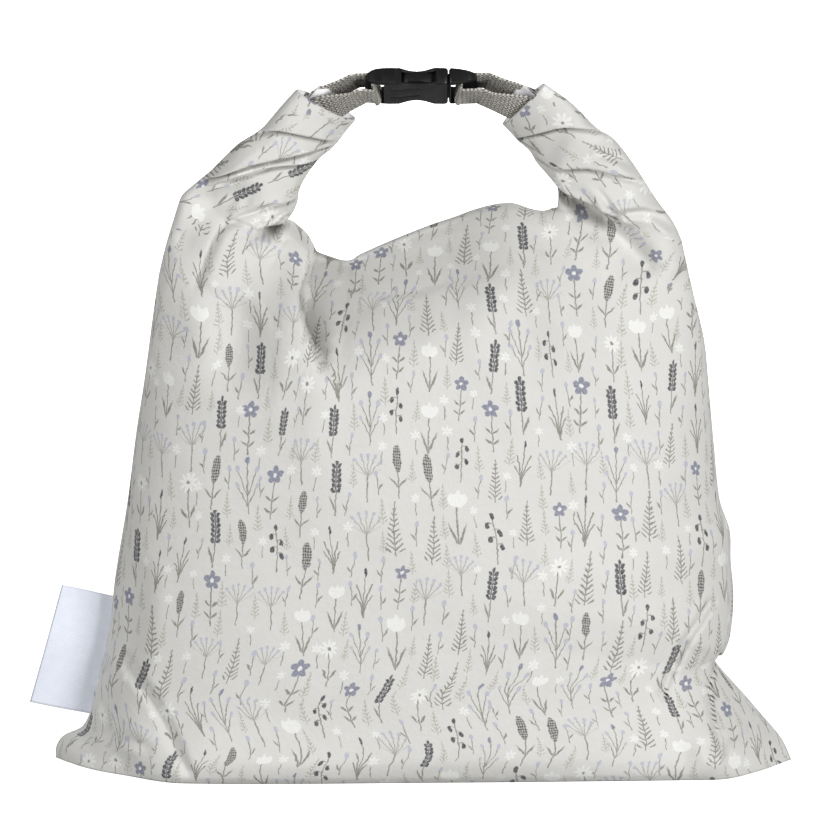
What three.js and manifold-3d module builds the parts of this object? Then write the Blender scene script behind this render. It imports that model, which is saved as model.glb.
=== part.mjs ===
// Reusable bread bag: a printed cloth pouch that stands on its base, its mouth rolled to the back,
// and the two ends of the roll brought together above in a buckle, which makes a carry loop.
// Millimetres, Z up. The origin is on the floor under the middle of the base; the front looks to -Y.
import * as THREE from "three";
import { mergeVertices } from "three/addons/utils/BufferGeometryUtils.js";
import Module from "manifold-3d";

const wasm = await Module();
wasm.setup();

// Cloth of the pouch
const WALL = 2;
const SEAM_HALF = 1.6;
const POUCH_COLUMNS = 40;
const POUCH_ROWS = 26;
const HOLLOW_COLUMNS = 24;
const HOLLOW_ROWS = 14;
const EDGE_CROWDING = 0.085;
const ROW_CROWDING = 0.06;
const EAR_REACH = 46;
const EAR_LIFT_POWER = 9;
const RIM_CUT = 12;
const FOLD_FADE = 20;
const FOLD_TOP = 0.84;
const SLANT_ALLOWANCE = 1.25;
const LEAST_ROOM = 0.6;

// How far the room inside keeps from the side seams, as shares of the sheet's width: everywhere,
// more in the bottom corners up to cornerTop, and more again under the rim from rimFrom
const ROOM = { floor: 0.012, sides: 0.03, corners: 0.11, cornerTop: 0.3, rim: 0.07, rimFrom: 0.9 };

// Left side seam, from the tip of the bottom corner up to the shoulder
const LEFT_SEAM = [
  { v: 0, x: -160, z: 3 },
  { v: 0.04, x: -157, z: 10 },
  { v: 0.09, x: -148, z: 16 },
  { v: 0.15, x: -142, z: 30 },
  { v: 0.26, x: -136.5, z: 58 },
  { v: 0.37, x: -134.3, z: 82 },
  { v: 0.5, x: -129, z: 114 },
  { v: 0.63, x: -125.3, z: 146 },
  { v: 0.74, x: -121.6, z: 170 },
  { v: 0.87, x: -116, z: 207 },
  { v: 1, x: -109.5, z: 236 },
];

// Right side seam, with the waist above its bottom corner
const RIGHT_SEAM = [
  { v: 0, x: 160, z: 4 },
  { v: 0.05, x: 155, z: 11 },
  { v: 0.11, x: 144, z: 22 },
  { v: 0.18, x: 128, z: 41 },
  { v: 0.25, x: 132, z: 55 },
  { v: 0.33, x: 136, z: 72 },
  { v: 0.5, x: 134.5, z: 108 },
  { v: 0.75, x: 128.6, z: 158 },
  { v: 0.9, x: 122.5, z: 188 },
  { v: 1, x: 118.8, z: 203 },
];

// Rim of the pouch's mouth, under the roll
const RIM = [
  { u: 0, x: -109.5, z: 236 },
  { u: 0.1, x: -93, z: 219.4 },
  { u: 0.2, x: -72, z: 203 },
  { u: 0.33, x: -41, z: 191.5 },
  { u: 0.5, x: -1.5, z: 199.5 },
  { u: 0.66, x: 35.6, z: 211.5 },
  { u: 0.74, x: 53, z: 222 },
  { u: 0.81, x: 69, z: 231 },
  { u: 0.88, x: 88, z: 224 },
  { u: 0.94, x: 104, z: 212.6 },
  { u: 1, x: 118.8, z: 203 },
];

// Half depth of the filled pouch and how square its plan is, from the base to the rim
const BULGE = [
  { v: 0, depth: 49, square: 5 },
  { v: 0.05, depth: 53, square: 4 },
  { v: 0.15, depth: 56, square: 3 },
  { v: 0.3, depth: 58, square: 2.5 },
  { v: 0.45, depth: 57.5, square: 2.4 },
  { v: 0.67, depth: 51, square: 2.4 },
  { v: 0.8, depth: 42, square: 2.4 },
  { v: 0.9, depth: 29, square: 2.4 },
  { v: 0.96, depth: 20, square: 2.6 },
  { v: 1, depth: 13, square: 3 },
];

// Folds and creases in the front: a soft hollow along each line, with a swelling on one side of it
const FOLDS = [
  { at: "left pleat", x0: -54, z0: 200, x1: -58, z1: 186, x2: -34, z2: 166, hollow: 5, swell: 3, reach: 13 },
  { at: "shoulder", x0: 88, z0: 214, x1: 98, z1: 200, x2: 114, z2: 190, hollow: 4, swell: 2, reach: 11 },
  { at: "left corner", x0: -134, z0: 58, x1: -118, z1: 34, x2: -104, z2: 2, hollow: 6, swell: 0, reach: 12 },
  { at: "right side", x0: 121, z0: 70, x1: 109, z1: 46, x2: 104, z2: 20, hollow: 5, swell: 2, reach: 12 },
  { at: "right corner", x0: 123, z0: 42, x1: 128, z1: 20, x2: 130, z2: 2, hollow: 5, swell: 0, reach: 9 },
];
const FOLD_POINTS = 12;

// The rolled mouth, a row for each slanted section from the left end to the right one. In a section
// ix, iz is its edge at the handle hole, ox, oz its outer edge, iy and oy how far back they lie.
// Each lap edge is two rows close together: the layer towards the end lies over the one behind it.
const ROLL = [
  { at: "left end", ix: -29.6, iz: 284.8, ox: -55.7, oz: 297.5, iy: 10, oy: -11, half: 6.6 },
  { at: "left first layer", ix: -33.5, iz: 280.5, ox: -62.5, oz: 289.5, iy: 10, oy: -11, half: 7.2 },
  { at: "left first lap", ix: -36.8, iz: 277, ox: -71, oz: 279.5, iy: 9.5, oy: -10.5, half: 8.4 },
  { at: "left second layer", ix: -37.4, iz: 276, ox: -72.6, oz: 278, iy: 9.5, oy: -10.5, half: 6.8 },
  { at: "left second lap", ix: -41, iz: 271.8, ox: -90, oz: 262.2, iy: 8.5, oy: -9, half: 9.8 },
  { at: "left third layer", ix: -41.8, iz: 270.6, ox: -92, oz: 261, iy: 8.5, oy: -9, half: 8 },
  { at: "left third lap", ix: -53.6, iz: 252.8, ox: -105.8, oz: 246, iy: 6, oy: -5, half: 12 },
  { at: "left root", ix: -54.6, iz: 251, ox: -106.8, oz: 243.6, iy: 6, oy: -5, half: 10.2 },
  { at: "left shoulder", ix: -59.4, iz: 240.4, ox: -108.6, oz: 236.6, iy: 4, oy: -2, half: 12.5 },
  { at: "left knuckle", ix: -54, iz: 231.5, ox: -84, oz: 210.2, iy: 3, oy: 1, half: 12.5 },
  { at: "left saddle", ix: -45, iz: 225, ox: -58, oz: 193.2, iy: 4, oy: 1, half: 11 },
  { at: "saddle low", ix: -34.3, iz: 221.6, ox: -38, oz: 188, iy: 6, oy: 1, half: 9.4 },
  { at: "saddle rise", ix: -18, iz: 226.4, ox: -19, oz: 192, iy: 7, oy: 1, half: 8.8 },
  { at: "saddle middle", ix: -1.5, iz: 232.4, ox: -1.5, oz: 196.4, iy: 7, oy: 1, half: 8.6 },
  { at: "saddle climb", ix: 16, iz: 240.4, ox: 17.5, oz: 203, iy: 7, oy: 1, half: 8.6 },
  { at: "saddle high", ix: 33.4, iz: 246.6, ox: 36, oz: 208.6, iy: 6, oy: 1, half: 9.2 },
  { at: "right saddle", ix: 47, iz: 245.8, ox: 53, oz: 221, iy: 5, oy: 1, half: 9 },
  { at: "right knuckle", ix: 57, iz: 246, ox: 70, oz: 231.4, iy: 4, oy: 0.6, half: 9.2 },
  { at: "right root", ix: 59, iz: 250, ox: 88.5, oz: 224.8, iy: 4, oy: 0, half: 9.4 },
  { at: "right third lap", ix: 58.7, iz: 252.6, ox: 99, oz: 218.4, iy: 5, oy: -2, half: 12 },
  { at: "right shoulder", ix: 57.6, iz: 255.6, ox: 117, oz: 207, iy: 5, oy: -3, half: 12 },
  { at: "right arm", ix: 53.6, iz: 261.6, ox: 108.6, oz: 240, iy: 6.5, oy: -7, half: 10.6 },
  { at: "right third layer", ix: 47.8, iz: 268.6, ox: 93.2, oz: 261, iy: 8, oy: -9.5, half: 8 },
  { at: "right second lap", ix: 47, iz: 269.8, ox: 91.2, oz: 263.4, iy: 8.5, oy: -10, half: 9.8 },
  { at: "right second layer", ix: 41.4, iz: 276, ox: 77.6, oz: 278.4, iy: 9.5, oy: -11, half: 6.8 },
  { at: "right first lap", ix: 40.8, iz: 276.8, ox: 76, oz: 280, iy: 9.5, oy: -11, half: 8.4 },
  { at: "right first layer", ix: 37.6, iz: 279.4, ox: 65, oz: 290, iy: 10, oy: -11.5, half: 7.2 },
  { at: "right end", ix: 34.7, iz: 281.6, ox: 53, oz: 300, iy: 10, oy: -12, half: 6.6 },
];
const ROLL_SIDES = 20;
const ROLL_SQUARE = 2.3;
const POCKET_DEPTH = 7;
const POCKET_LONG = 0.84;
const POCKET_SHORT = 0.8;

// Buckle, in its own frame: X along it, Y across it, Z out of the face that shows
const BUCKLE_AT = new THREE.Vector3(-1, 0, 299.4);
const BUCKLE_TURN = THREE.MathUtils.degToRad(148);
const BUCKLE = { length: 48.8, width: 25.4, thick: 8, mouth: 11.7, corner: 5, small: 1.4, cornerSteps: 4 };
const SOFT_EDGE = [
  { z: -4, in: 1 },
  { z: -3.6, in: 0.35 },
  { z: -2.9, in: 0 },
  { z: 2.9, in: 0 },
  { z: 3.6, in: 0.35 },
  { z: 4, in: 1 },
];
const BAR = { thick: 3.2, socketIn: -20.4, plugIn: 17.2, slot: 4.2, slotWidth: 21.4 };
const SCALLOP = { x: -2, radius: 15.5, depth: 3.1, sides: 48 };
const CAVITY = { from: -12.5, width: 19.2, high: 5 };
const WINDOW = { from: -8.6, to: 6.4, high: 5 };
const PRONG = { tip: -8.1, root: 12, thick: 4.2, inner: 6.6, outer: 9.2, proud: 12, padTo: 5.8, steps: 6 };
const NOSE = { long: 2, slant: 1.2 };
const BRIDGE_REACH = 3;
const TONGUE = { tip: -9.5, width: 5, thick: 3.4 };
const FACE_GROOVE = { x0: -13.5, x1: -0.5, y: -4.2, wide: 1, deep: 0.6 };
const LEAST_CORNER = 0.2;
const GAP = 0.35;
const OVERCUT = 1;
const HAIR = 0.1;

// Webbing. A strap turns from the slant of the roll's end to the buckle's bar over a part of its run.
const STRAP = { width: 20, thick: 1.4, inPocket: 1.9, overBar: 2.75, turn: 1.05, lead: 3, steps: 7 };
const STRAP_BOW = { share: 0.55, rise: 0.8 };
const STRAP_TURNS = {
  slant: { from: 0.2, to: 0.85 },
  square: { from: 0.3, to: 0.7 },
  spread: { from: 0.2, to: 0.9 },
};
const BAR_ANGLES = [90, 45, 0, -45, -90];

// Label in the left side seam, a folded ribbon
const LABEL = { from: 0.115, to: 0.345, wide: 26.5, rise: 5.2, thick: 1.1, rows: 6, sway: 2.2 };

// White inner face of the cloth, a turned edge between the strands at each end of the roll
const LINING = { wide: 9, deep: 4.4, shown: 0.6, thick: 0.8, off: -3.6 };

const COLOURS = {
  cloth: { color: 0xd3d0cb, roughness: 0.86, metalness: 0 },
  webbing: { color: 0x8f8b87, roughness: 0.9, metalness: 0 },
  plastic: { color: 0x1b1b1d, roughness: 0.42, metalness: 0 },
  satin: { color: 0xeef0f4, roughness: 0.5, metalness: 0 },
  lining: { color: 0xf3f2ee, roughness: 0.8, metalness: 0 },
};

// One column of a table as a smooth curve over its key column.
function along(rows, key, column, t) {
  let i = 0;
  while (i < rows.length - 2 && t > rows[i + 1][key]) {
    i++;
  }
  const slopeAt = (k) => {
    const before = rows[Math.max(k - 1, 0)];
    const after = rows[Math.min(k + 1, rows.length - 1)];
    return (after[column] - before[column]) / (after[key] - before[key]);
  };
  const span = rows[i + 1][key] - rows[i][key];
  const f = (t - rows[i][key]) / span;
  const rest = 1 - f;
  const start = rows[i][column] * (1 + 2 * f) * rest * rest;
  const end = rows[i + 1][column] * (3 - 2 * f) * f * f;
  return start + end + span * f * rest * (slopeAt(i) * rest - slopeAt(i + 1) * f);
}

function smooth(from, to, value) {
  return THREE.MathUtils.smoothstep(value, from, to);
}

// Depth that a fold takes from or adds to the front at a point of the seam plane.
function foldAt(fold, x, z) {
  const curve = new THREE.QuadraticBezierCurve(
    new THREE.Vector2(fold.x0, fold.z0),
    new THREE.Vector2(fold.x1, fold.z1),
    new THREE.Vector2(fold.x2, fold.z2),
  );
  const point = new THREE.Vector2(x, z);
  const nearer = (a, b) => (a.distanceTo(point) < b.distanceTo(point) ? a : b);
  const near = curve.getPoints(FOLD_POINTS).reduce(nearer);
  const off = point.distanceTo(near) / fold.reach;
  const chord = new THREE.Vector2(fold.x2 - fold.x0, fold.z2 - fold.z0).normalize();
  const side = chord.cross(point.clone().sub(near)) / fold.reach;
  const swelling = fold.swell * side * Math.exp(-side * side - off * off);
  return swelling - fold.hollow * Math.exp(-2 * off * off);
}

// Room that the inside gives up near a fold, so that the wall keeps its thickness there.
function foldShadow(fold, x, z) {
  const middle = Math.hypot(x - fold.x1, z - fold.z1);
  const ends = Math.min(Math.hypot(x - fold.x0, z - fold.z0), Math.hypot(x - fold.x2, z - fold.z2));
  return (fold.hollow + fold.swell) * (1 - smooth(fold.reach, 3 * fold.reach, Math.min(middle, ends)));
}

// Half depth of the pouch at a point of its sheet, thin at the flattened bottom corners.
function halfDepth(u, v, x, z, folded) {
  const across = Math.abs(2 * columnShare(u) - 1);
  const full = along(BULGE, "v", "depth", v) - SEAM_HALF;
  let depth = full * Math.sqrt(Math.max(1 - Math.pow(across, along(BULGE, "v", "square", v)), 0));
  for (const tip of [LEFT_SEAM[0], RIGHT_SEAM[0]]) {
    depth *= smooth(0, EAR_REACH, Math.hypot(x - tip.x, z - tip.z));
  }
  if (folded) {
    const fade = Math.min(1, depth / FOLD_FADE) * smooth(0, FOLD_FADE, z) * belowRim(v);
    depth += FOLDS.reduce((sum, fold) => sum + foldAt(fold, x, z), 0) * fade;
  }
  return SEAM_HALF + Math.max(depth, 0);
}

// Folds die away towards the rim.
function belowRim(v) {
  return 1 - smooth(FOLD_TOP, 1, v);
}

// Columns stand closer together near the side seams.
function columnShare(u) {
  return u - EDGE_CROWDING * Math.sin(2 * Math.PI * u);
}

// A point of the pouch: u runs from the left seam to the right one, v from the base to the rim.
function pouchPoint(u, v, face, folded = face < 0) {
  const base = { x: THREE.MathUtils.lerp(LEFT_SEAM[0].x, RIGHT_SEAM[0].x, columnShare(u)) };
  const lift = Math.pow(Math.abs(2 * columnShare(u) - 1), EAR_LIFT_POWER);
  base.z = lift * (u < 0.5 ? LEFT_SEAM[0].z : RIGHT_SEAM[0].z);
  const share = columnShare(u);
  const at = {};
  for (const axis of ["x", "z"]) {
    const rows = (1 - v) * base[axis] + v * along(RIM, "u", axis, u);
    const left = along(LEFT_SEAM, "v", axis, v);
    const right = along(RIGHT_SEAM, "v", axis, v);
    const leftChord = THREE.MathUtils.lerp(LEFT_SEAM[0][axis], RIM[0][axis], v);
    const rightChord = THREE.MathUtils.lerp(RIGHT_SEAM[0][axis], RIM[RIM.length - 1][axis], v);
    at[axis] = rows + (1 - share) * (left - leftChord) + share * (right - rightChord);
  }
  at.z = Math.max(at.z, 0);
  return new THREE.Vector3(at.x, face * halfDepth(u, v, at.x, at.z, folded), at.z);
}

// Closed rings of points joined into one skin; the end rings close by pairing their two halves.
function skin(rings) {
  const count = rings[0].length;
  const half = count / 2;
  const points = rings.flat();
  const faces = [];
  const quad = (a, b, c, d) => faces.push(a, b, c, a, c, d);
  for (let r = 0; r < rings.length - 1; r++) {
    for (let i = 0; i < count; i++) {
      const next = (i + 1) % count;
      quad(r * count + i, r * count + next, (r + 1) * count + next, (r + 1) * count + i);
    }
  }
  const top = (rings.length - 1) * count;
  for (let i = 0; i < half - 1; i++) {
    quad(i, count - 1 - i, count - 2 - i, i + 1);
    quad(top + i, top + i + 1, top + count - 2 - i, top + count - 1 - i);
  }
  const geometry = new THREE.BufferGeometry();
  geometry.setFromPoints(points);
  geometry.setIndex(faces);
  return geometry;
}

function solid(geometry) {
  const bare = new THREE.BufferGeometry();
  const flat = geometry.index ? geometry.toNonIndexed() : geometry;
  bare.setAttribute("position", flat.getAttribute("position"));
  const merged = mergeVertices(bare, 1e-4);
  const mesh = new wasm.Mesh({
    numProp: 3,
    vertProperties: merged.attributes.position.array,
    triVerts: new Uint32Array(merged.index.array),
  });
  return new wasm.Manifold(mesh);
}

function geometryOf(manifold) {
  const mesh = manifold.getMesh();
  const geometry = new THREE.BufferGeometry();
  geometry.setAttribute("position", new THREE.BufferAttribute(new Float32Array(mesh.vertProperties), 3));
  geometry.setIndex(new THREE.BufferAttribute(new Uint32Array(mesh.triVerts), 1));
  return geometry;
}

function box(x0, x1, y0, y1, z0, z1) {
  const geometry = new THREE.BoxGeometry(x1 - x0, y1 - y0, z1 - z0);
  return solid(geometry.translate((x0 + x1) / 2, (y0 + y1) / 2, (z0 + z1) / 2));
}

const root = new THREE.Group();

function add(name, geometry, finish) {
  const mesh = new THREE.Mesh(geometry, new THREE.MeshStandardMaterial(finish));
  mesh.name = name;
  geometry.computeVertexNormals();
  root.add(mesh);
}

// Pouch: the outer skin less the room inside, which opens through the rim
function ring(columns, from, to, point) {
  const front = [];
  const back = [];
  for (let i = 0; i <= columns; i++) {
    const u = THREE.MathUtils.lerp(from, to, i / columns);
    front.push(point(u, -1));
    back.unshift(point(u, 1));
  }
  return front.concat(back);
}

const outerRings = [];
for (let r = 0; r <= POUCH_ROWS; r++) {
  const share = r / POUCH_ROWS;
  const v = share - ROW_CROWDING * Math.sin(2 * Math.PI * share);
  outerRings.push(ring(POUCH_COLUMNS, 0, 1, (u, face) => pouchPoint(u, v, face)));
}

// A point of the room's wall, a wall's thickness in from the skin and clear of the folds.
function roomPoint(u, v, face) {
  const at = pouchPoint(u, v, face, false);
  const spared = face < 0 ? Math.max(...FOLDS.map((fold) => foldShadow(fold, at.x, at.z))) : 0;
  const inside = Math.max(Math.abs(at.y) - WALL * SLANT_ALLOWANCE - spared * belowRim(v), LEAST_ROOM);
  return new THREE.Vector3(at.x, face * inside, Math.max(at.z, WALL));
}

const roomRings = [];
for (let r = 0; r <= HOLLOW_ROWS; r++) {
  const v = THREE.MathUtils.lerp(ROOM.floor, 1, r / HOLLOW_ROWS);
  const low = ROOM.corners * (1 - smooth(0, ROOM.cornerTop, v));
  const inset = ROOM.sides + low + ROOM.rim * smooth(ROOM.rimFrom, 1, v);
  roomRings.push(ring(HOLLOW_COLUMNS, inset, 1 - inset, (u, face) => roomPoint(u, v, face)));
}
const aboveRim = roomRings[HOLLOW_ROWS].map((p) => new THREE.Vector3(p.x, p.y, p.z + RIM_CUT));
roomRings.push(aboveRim);
add("pouch", geometryOf(solid(skin(outerRings)).subtract(solid(skin(roomRings)))), COLOURS.cloth);

// Rolled mouth: flattened ovals through the table's sections, a pocket in each end for the straps
function rollFrame(row) {
  const inner = new THREE.Vector3(row.ix, row.iy, row.iz);
  const outer = new THREE.Vector3(row.ox, row.oy, row.oz);
  const middle = inner.clone().add(outer).multiplyScalar(0.5);
  const long = outer.clone().sub(inner);
  const reach = long.length() / 2;
  long.normalize();
  const depth = new THREE.Vector3(0, 1, 0);
  depth.addScaledVector(long, -depth.dot(long)).normalize();
  return { middle, long, depth, reach, half: row.half };
}

function ovalRing(frame, long, short, shift) {
  const points = [];
  for (let i = 0; i < ROLL_SIDES; i++) {
    const turn = ((i + 0.5) / ROLL_SIDES) * 2 * Math.PI;
    const c = Math.cos(turn);
    const s = Math.sin(turn);
    const a = Math.sign(c) * Math.pow(Math.abs(c), 2 / ROLL_SQUARE) * frame.reach * long;
    const b = Math.sign(s) * Math.pow(Math.abs(s), 2 / ROLL_SQUARE) * frame.half * short;
    const at = frame.middle.clone().addScaledVector(frame.long, a).addScaledVector(frame.depth, b);
    points.push(at.add(shift));
  }
  return points;
}

const frames = ROLL.map(rollFrame);
const last = frames.length - 1;
const intoLeft = frames[1].middle.clone().sub(frames[0].middle).normalize();
const intoRight = frames[last - 1].middle.clone().sub(frames[last].middle).normalize();
const none = new THREE.Vector3();
const leftFloor = intoLeft.clone().multiplyScalar(POCKET_DEPTH);
const rightFloor = intoRight.clone().multiplyScalar(POCKET_DEPTH);
const rollRings = [
  ovalRing(frames[0], POCKET_LONG, POCKET_SHORT, leftFloor),
  ovalRing(frames[0], POCKET_LONG, POCKET_SHORT, none),
  ...frames.map((frame) => ovalRing(frame, 1, 1, none)),
  ovalRing(frames[last], POCKET_LONG, POCKET_SHORT, none),
  ovalRing(frames[last], POCKET_LONG, POCKET_SHORT, rightFloor),
];
add("rolled_mouth", skin(rollRings), COLOURS.cloth);

// Buckle halves, built flat and then turned into place
const buckleFrame = new THREE.Matrix4()
  .makeTranslation(BUCKLE_AT)
  .multiply(new THREE.Matrix4().makeRotationX(BUCKLE_TURN));

// A plate with rounded corners in plan and softened edges, as rings from its back face to its front.
function roundedPlate(x0, x1, left, right) {
  const ringAt = ({ in: inset, z }) => {
    const points = [];
    const corner = (x, y, radius, fromDegrees) => {
      for (let k = 0; k <= BUCKLE.cornerSteps; k++) {
        const a = THREE.MathUtils.degToRad(fromDegrees + (90 * k) / BUCKLE.cornerSteps);
        const r = Math.max(radius - inset, LEAST_CORNER);
        points.push(new THREE.Vector3(x + r * Math.cos(a), y + r * Math.sin(a), z));
      }
    };
    const h = BUCKLE.width / 2;
    corner(x0 + left, -h + left, left, 180);
    corner(x1 - right, -h + right, right, 270);
    corner(x1 - right, h - right, right, 0);
    corner(x0 + left, h - left, left, 90);
    return points;
  };
  return solid(skin(SOFT_EDGE.map(ringAt)));
}

const endX = BUCKLE.length / 2;
const slotHalf = BAR.slotWidth / 2;
const thin = BAR.thick / 2;
const tall = BUCKLE.thick;
let socket = roundedPlate(-endX, BUCKLE.mouth, BUCKLE.corner, BUCKLE.small);
for (const side of [-1, 1]) {
  const cut = new THREE.CylinderGeometry(SCALLOP.radius, SCALLOP.radius, 2 * tall, SCALLOP.sides);
  cut.rotateX(Math.PI / 2);
  cut.translate(SCALLOP.x, side * (BUCKLE.width / 2 - SCALLOP.depth + SCALLOP.radius), 0);
  socket = socket.subtract(solid(cut));
}
socket = socket
  .subtract(box(CAVITY.from, endX, -CAVITY.width / 2, CAVITY.width / 2, -CAVITY.high / 2, CAVITY.high / 2))
  .subtract(box(WINDOW.from, WINDOW.to, -endX, endX, -WINDOW.high / 2, WINDOW.high / 2))
  .subtract(box(BAR.socketIn, BAR.socketIn + BAR.slot, -slotHalf, slotHalf, -tall, tall))
  .subtract(box(-endX - OVERCUT, BAR.socketIn + HAIR, -slotHalf, slotHalf, thin, tall))
  .subtract(box(-endX - OVERCUT, BAR.socketIn + HAIR, -slotHalf, slotHalf, -tall, -thin));
for (const side of [-1, 1]) {
  const groove = side * FACE_GROOVE.y;
  const deep = BUCKLE.thick / 2 - FACE_GROOVE.deep;
  const low = groove - FACE_GROOVE.wide / 2;
  socket = socket.subtract(box(FACE_GROOVE.x0, FACE_GROOVE.x1, low, low + FACE_GROOVE.wide, deep, tall));
}
add("buckle_socket", geometryOf(socket).applyMatrix4(buckleFrame), COLOURS.plastic);

let plug = roundedPlate(BUCKLE.mouth + GAP, endX, BUCKLE.small, BUCKLE.corner)
  .subtract(box(BAR.plugIn - BAR.slot, BAR.plugIn, -slotHalf, slotHalf, -tall, tall))
  .subtract(box(BAR.plugIn - HAIR, endX + OVERCUT, -slotHalf, slotHalf, thin, tall))
  .subtract(box(BAR.plugIn - HAIR, endX + OVERCUT, -slotHalf, slotHalf, -tall, -thin));
const mouthIn = BAR.plugIn - BAR.slot;
const reachIn = CAVITY.width / 2 - GAP;
const prongHalf = PRONG.thick / 2;
plug = plug.add(box(BUCKLE.mouth - BRIDGE_REACH, mouthIn, -reachIn, reachIn, -prongHalf, prongHalf));
const prongShape = { depth: PRONG.thick, bevelEnabled: false, curveSegments: PRONG.steps };
for (const side of [-1, 1]) {
  const prong = new THREE.Shape();
  prong.moveTo(PRONG.root, side * PRONG.inner);
  prong.lineTo(PRONG.root, side * PRONG.outer);
  prong.lineTo(PRONG.padTo, side * PRONG.outer);
  prong.quadraticCurveTo(SCALLOP.x, side * PRONG.proud, PRONG.tip, side * PRONG.outer);
  prong.lineTo(PRONG.tip - NOSE.long, side * (PRONG.inner + NOSE.slant));
  prong.lineTo(PRONG.tip, side * PRONG.inner);
  prong.closePath();
  const arm = new THREE.ExtrudeGeometry(prong, prongShape);
  plug = plug.add(solid(arm.translate(0, 0, -prongHalf)));
}
const tongueHalf = TONGUE.thick / 2;
plug = plug.add(
  box(TONGUE.tip, PRONG.root, -TONGUE.width / 2, TONGUE.width / 2, -tongueHalf, tongueHalf),
);
add("buckle_plug", geometryOf(plug).applyMatrix4(buckleFrame), COLOURS.plastic);

// Straps: from the pocket in the roll's end, over the bar, round it through the slot and back
function strapGeometry(frame, into, barOut, barIn, facing) {
  const across = new THREE.Vector3(0, 1, 0).transformDirection(buckleFrame);
  const out = new THREE.Vector3(0, 0, 1).transformDirection(buckleFrame);
  const onBar = (x, z) => new THREE.Vector3(x, 0, z).applyMatrix4(buckleFrame);
  const start = frame.middle.clone().addScaledVector(into, POCKET_DEPTH - 2 * GAP);
  const centre = new THREE.CatmullRomCurve3([
    start,
    frame.middle.clone(),
    frame.middle.clone().lerp(onBar(barOut, 0), STRAP_BOW.share).addScaledVector(into, -STRAP_BOW.rise),
    onBar(barOut, 0),
  ]);
  const stations = [];
  for (let i = 0; i <= STRAP.steps; i++) {
    const s = i / STRAP.steps;
    const turned = (range) => smooth(range.from, range.to, s);
    const wide = frame.long.clone().lerp(across, turned(STRAP_TURNS.slant)).normalize();
    const tangent = centre.getTangentAt(s);
    wide.addScaledVector(tangent, -wide.dot(tangent) * turned(STRAP_TURNS.square)).normalize();
    const up = new THREE.Vector3().crossVectors(tangent, wide).normalize().multiplyScalar(facing);
    const apart = THREE.MathUtils.lerp(STRAP.inPocket, STRAP.overBar, turned(STRAP_TURNS.spread));
    stations.push({ at: centre.getPointAt(s), wide, up, apart });
  }
  const rows = [];
  const row = (at, wide, up) => rows.push({ at, wide, up });
  stations.forEach((s) => row(s.at.clone().addScaledVector(s.up, s.apart), s.wide, s.up));
  const swing = Math.sign(barIn - barOut);
  const lengthwise = new THREE.Vector3(swing, 0, 0);
  const below = out.clone().negate();
  row(onBar(-swing * endX, STRAP.overBar), across, out);
  for (const angle of BAR_ANGLES) {
    const a = THREE.MathUtils.degToRad(angle);
    const up = out.clone().multiplyScalar(Math.sin(a)).addScaledVector(lengthwise, Math.cos(a)).normalize();
    row(onBar(barIn + swing * STRAP.turn * Math.cos(a), STRAP.overBar * Math.sin(a)), across, up);
  }
  row(onBar(-swing * endX, -STRAP.overBar), across, below);
  stations.reverse();
  stations.forEach((s) => row(s.at.clone().addScaledVector(s.up, -s.apart), s.wide, s.up.clone().negate()));
  const h = STRAP.width / 2;
  const t = STRAP.thick / 2;
  const corners = [[-h, -t], [h, -t], [h, t], [-h, t]];
  const rings = rows.map((r) =>
    corners.map(([a, b]) => r.at.clone().addScaledVector(r.wide, a).addScaledVector(r.up, b)),
  );
  return turnedOut(skin(rings));
}

// The same skin with its faces looking outwards.
function turnedOut(geometry) {
  if (solid(geometry).volume() < 0) {
    geometry.setIndex([...geometry.index.array].reverse());
  }
  return geometry;
}

const strapEnd = endX + STRAP.lead;
add("strap_left", strapGeometry(frames[0], intoLeft, -strapEnd, BAR.socketIn, 1), COLOURS.webbing);
add("strap_right", strapGeometry(frames[last], intoRight, strapEnd, BAR.plugIn, -1), COLOURS.webbing);

// Label: a flat ribbon beside the seam, swaying a little forwards
const labelRings = [];
for (let r = 0; r <= LABEL.rows; r++) {
  const s = r / LABEL.rows;
  const v = THREE.MathUtils.lerp(LABEL.from, LABEL.to, s);
  const x = along(LEFT_SEAM, "v", "x", v) - GAP;
  const z = along(LEFT_SEAM, "v", "z", v);
  const sway = LABEL.sway * Math.sin(Math.PI * s);
  const edge = (share, back) => {
    const y = (back * LABEL.thick) / 2 - sway * share;
    return new THREE.Vector3(x - share * LABEL.wide, y, z + share * LABEL.rise);
  };
  labelRings.push([edge(1, -1), edge(0.5, -1), edge(0, -1), edge(0, 1), edge(0.5, 1), edge(1, 1)]);
}
add("label", turnedOut(skin(labelRings)), COLOURS.satin);

// Lining edges
function liningGeometry(frame, into) {
  const up = new THREE.Vector3().crossVectors(into, frame.long).normalize();
  const wide = new THREE.Vector3().crossVectors(into, up).normalize();
  const geometry = new THREE.BoxGeometry(LINING.wide, LINING.deep + LINING.shown, LINING.thick);
  geometry.translate(LINING.off, (LINING.deep - LINING.shown) / 2, 0);
  const place = new THREE.Matrix4().makeBasis(wide, into, up).setPosition(frame.middle);
  return geometry.applyMatrix4(place);
}

add("lining_left", liningGeometry(frames[0], intoLeft), COLOURS.lining);
add("lining_right", liningGeometry(frames[last], intoRight), COLOURS.lining);

export default root;
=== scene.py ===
"""Reusable bread bag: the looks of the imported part, in its own frame, in metres.

The cloth is one skin whose front and back are depths over the bag's outline. Straps, buckle, label and
lining are pieces of their own. Tables hold millimetres; MM turns them into metres.
"""

import math

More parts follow.
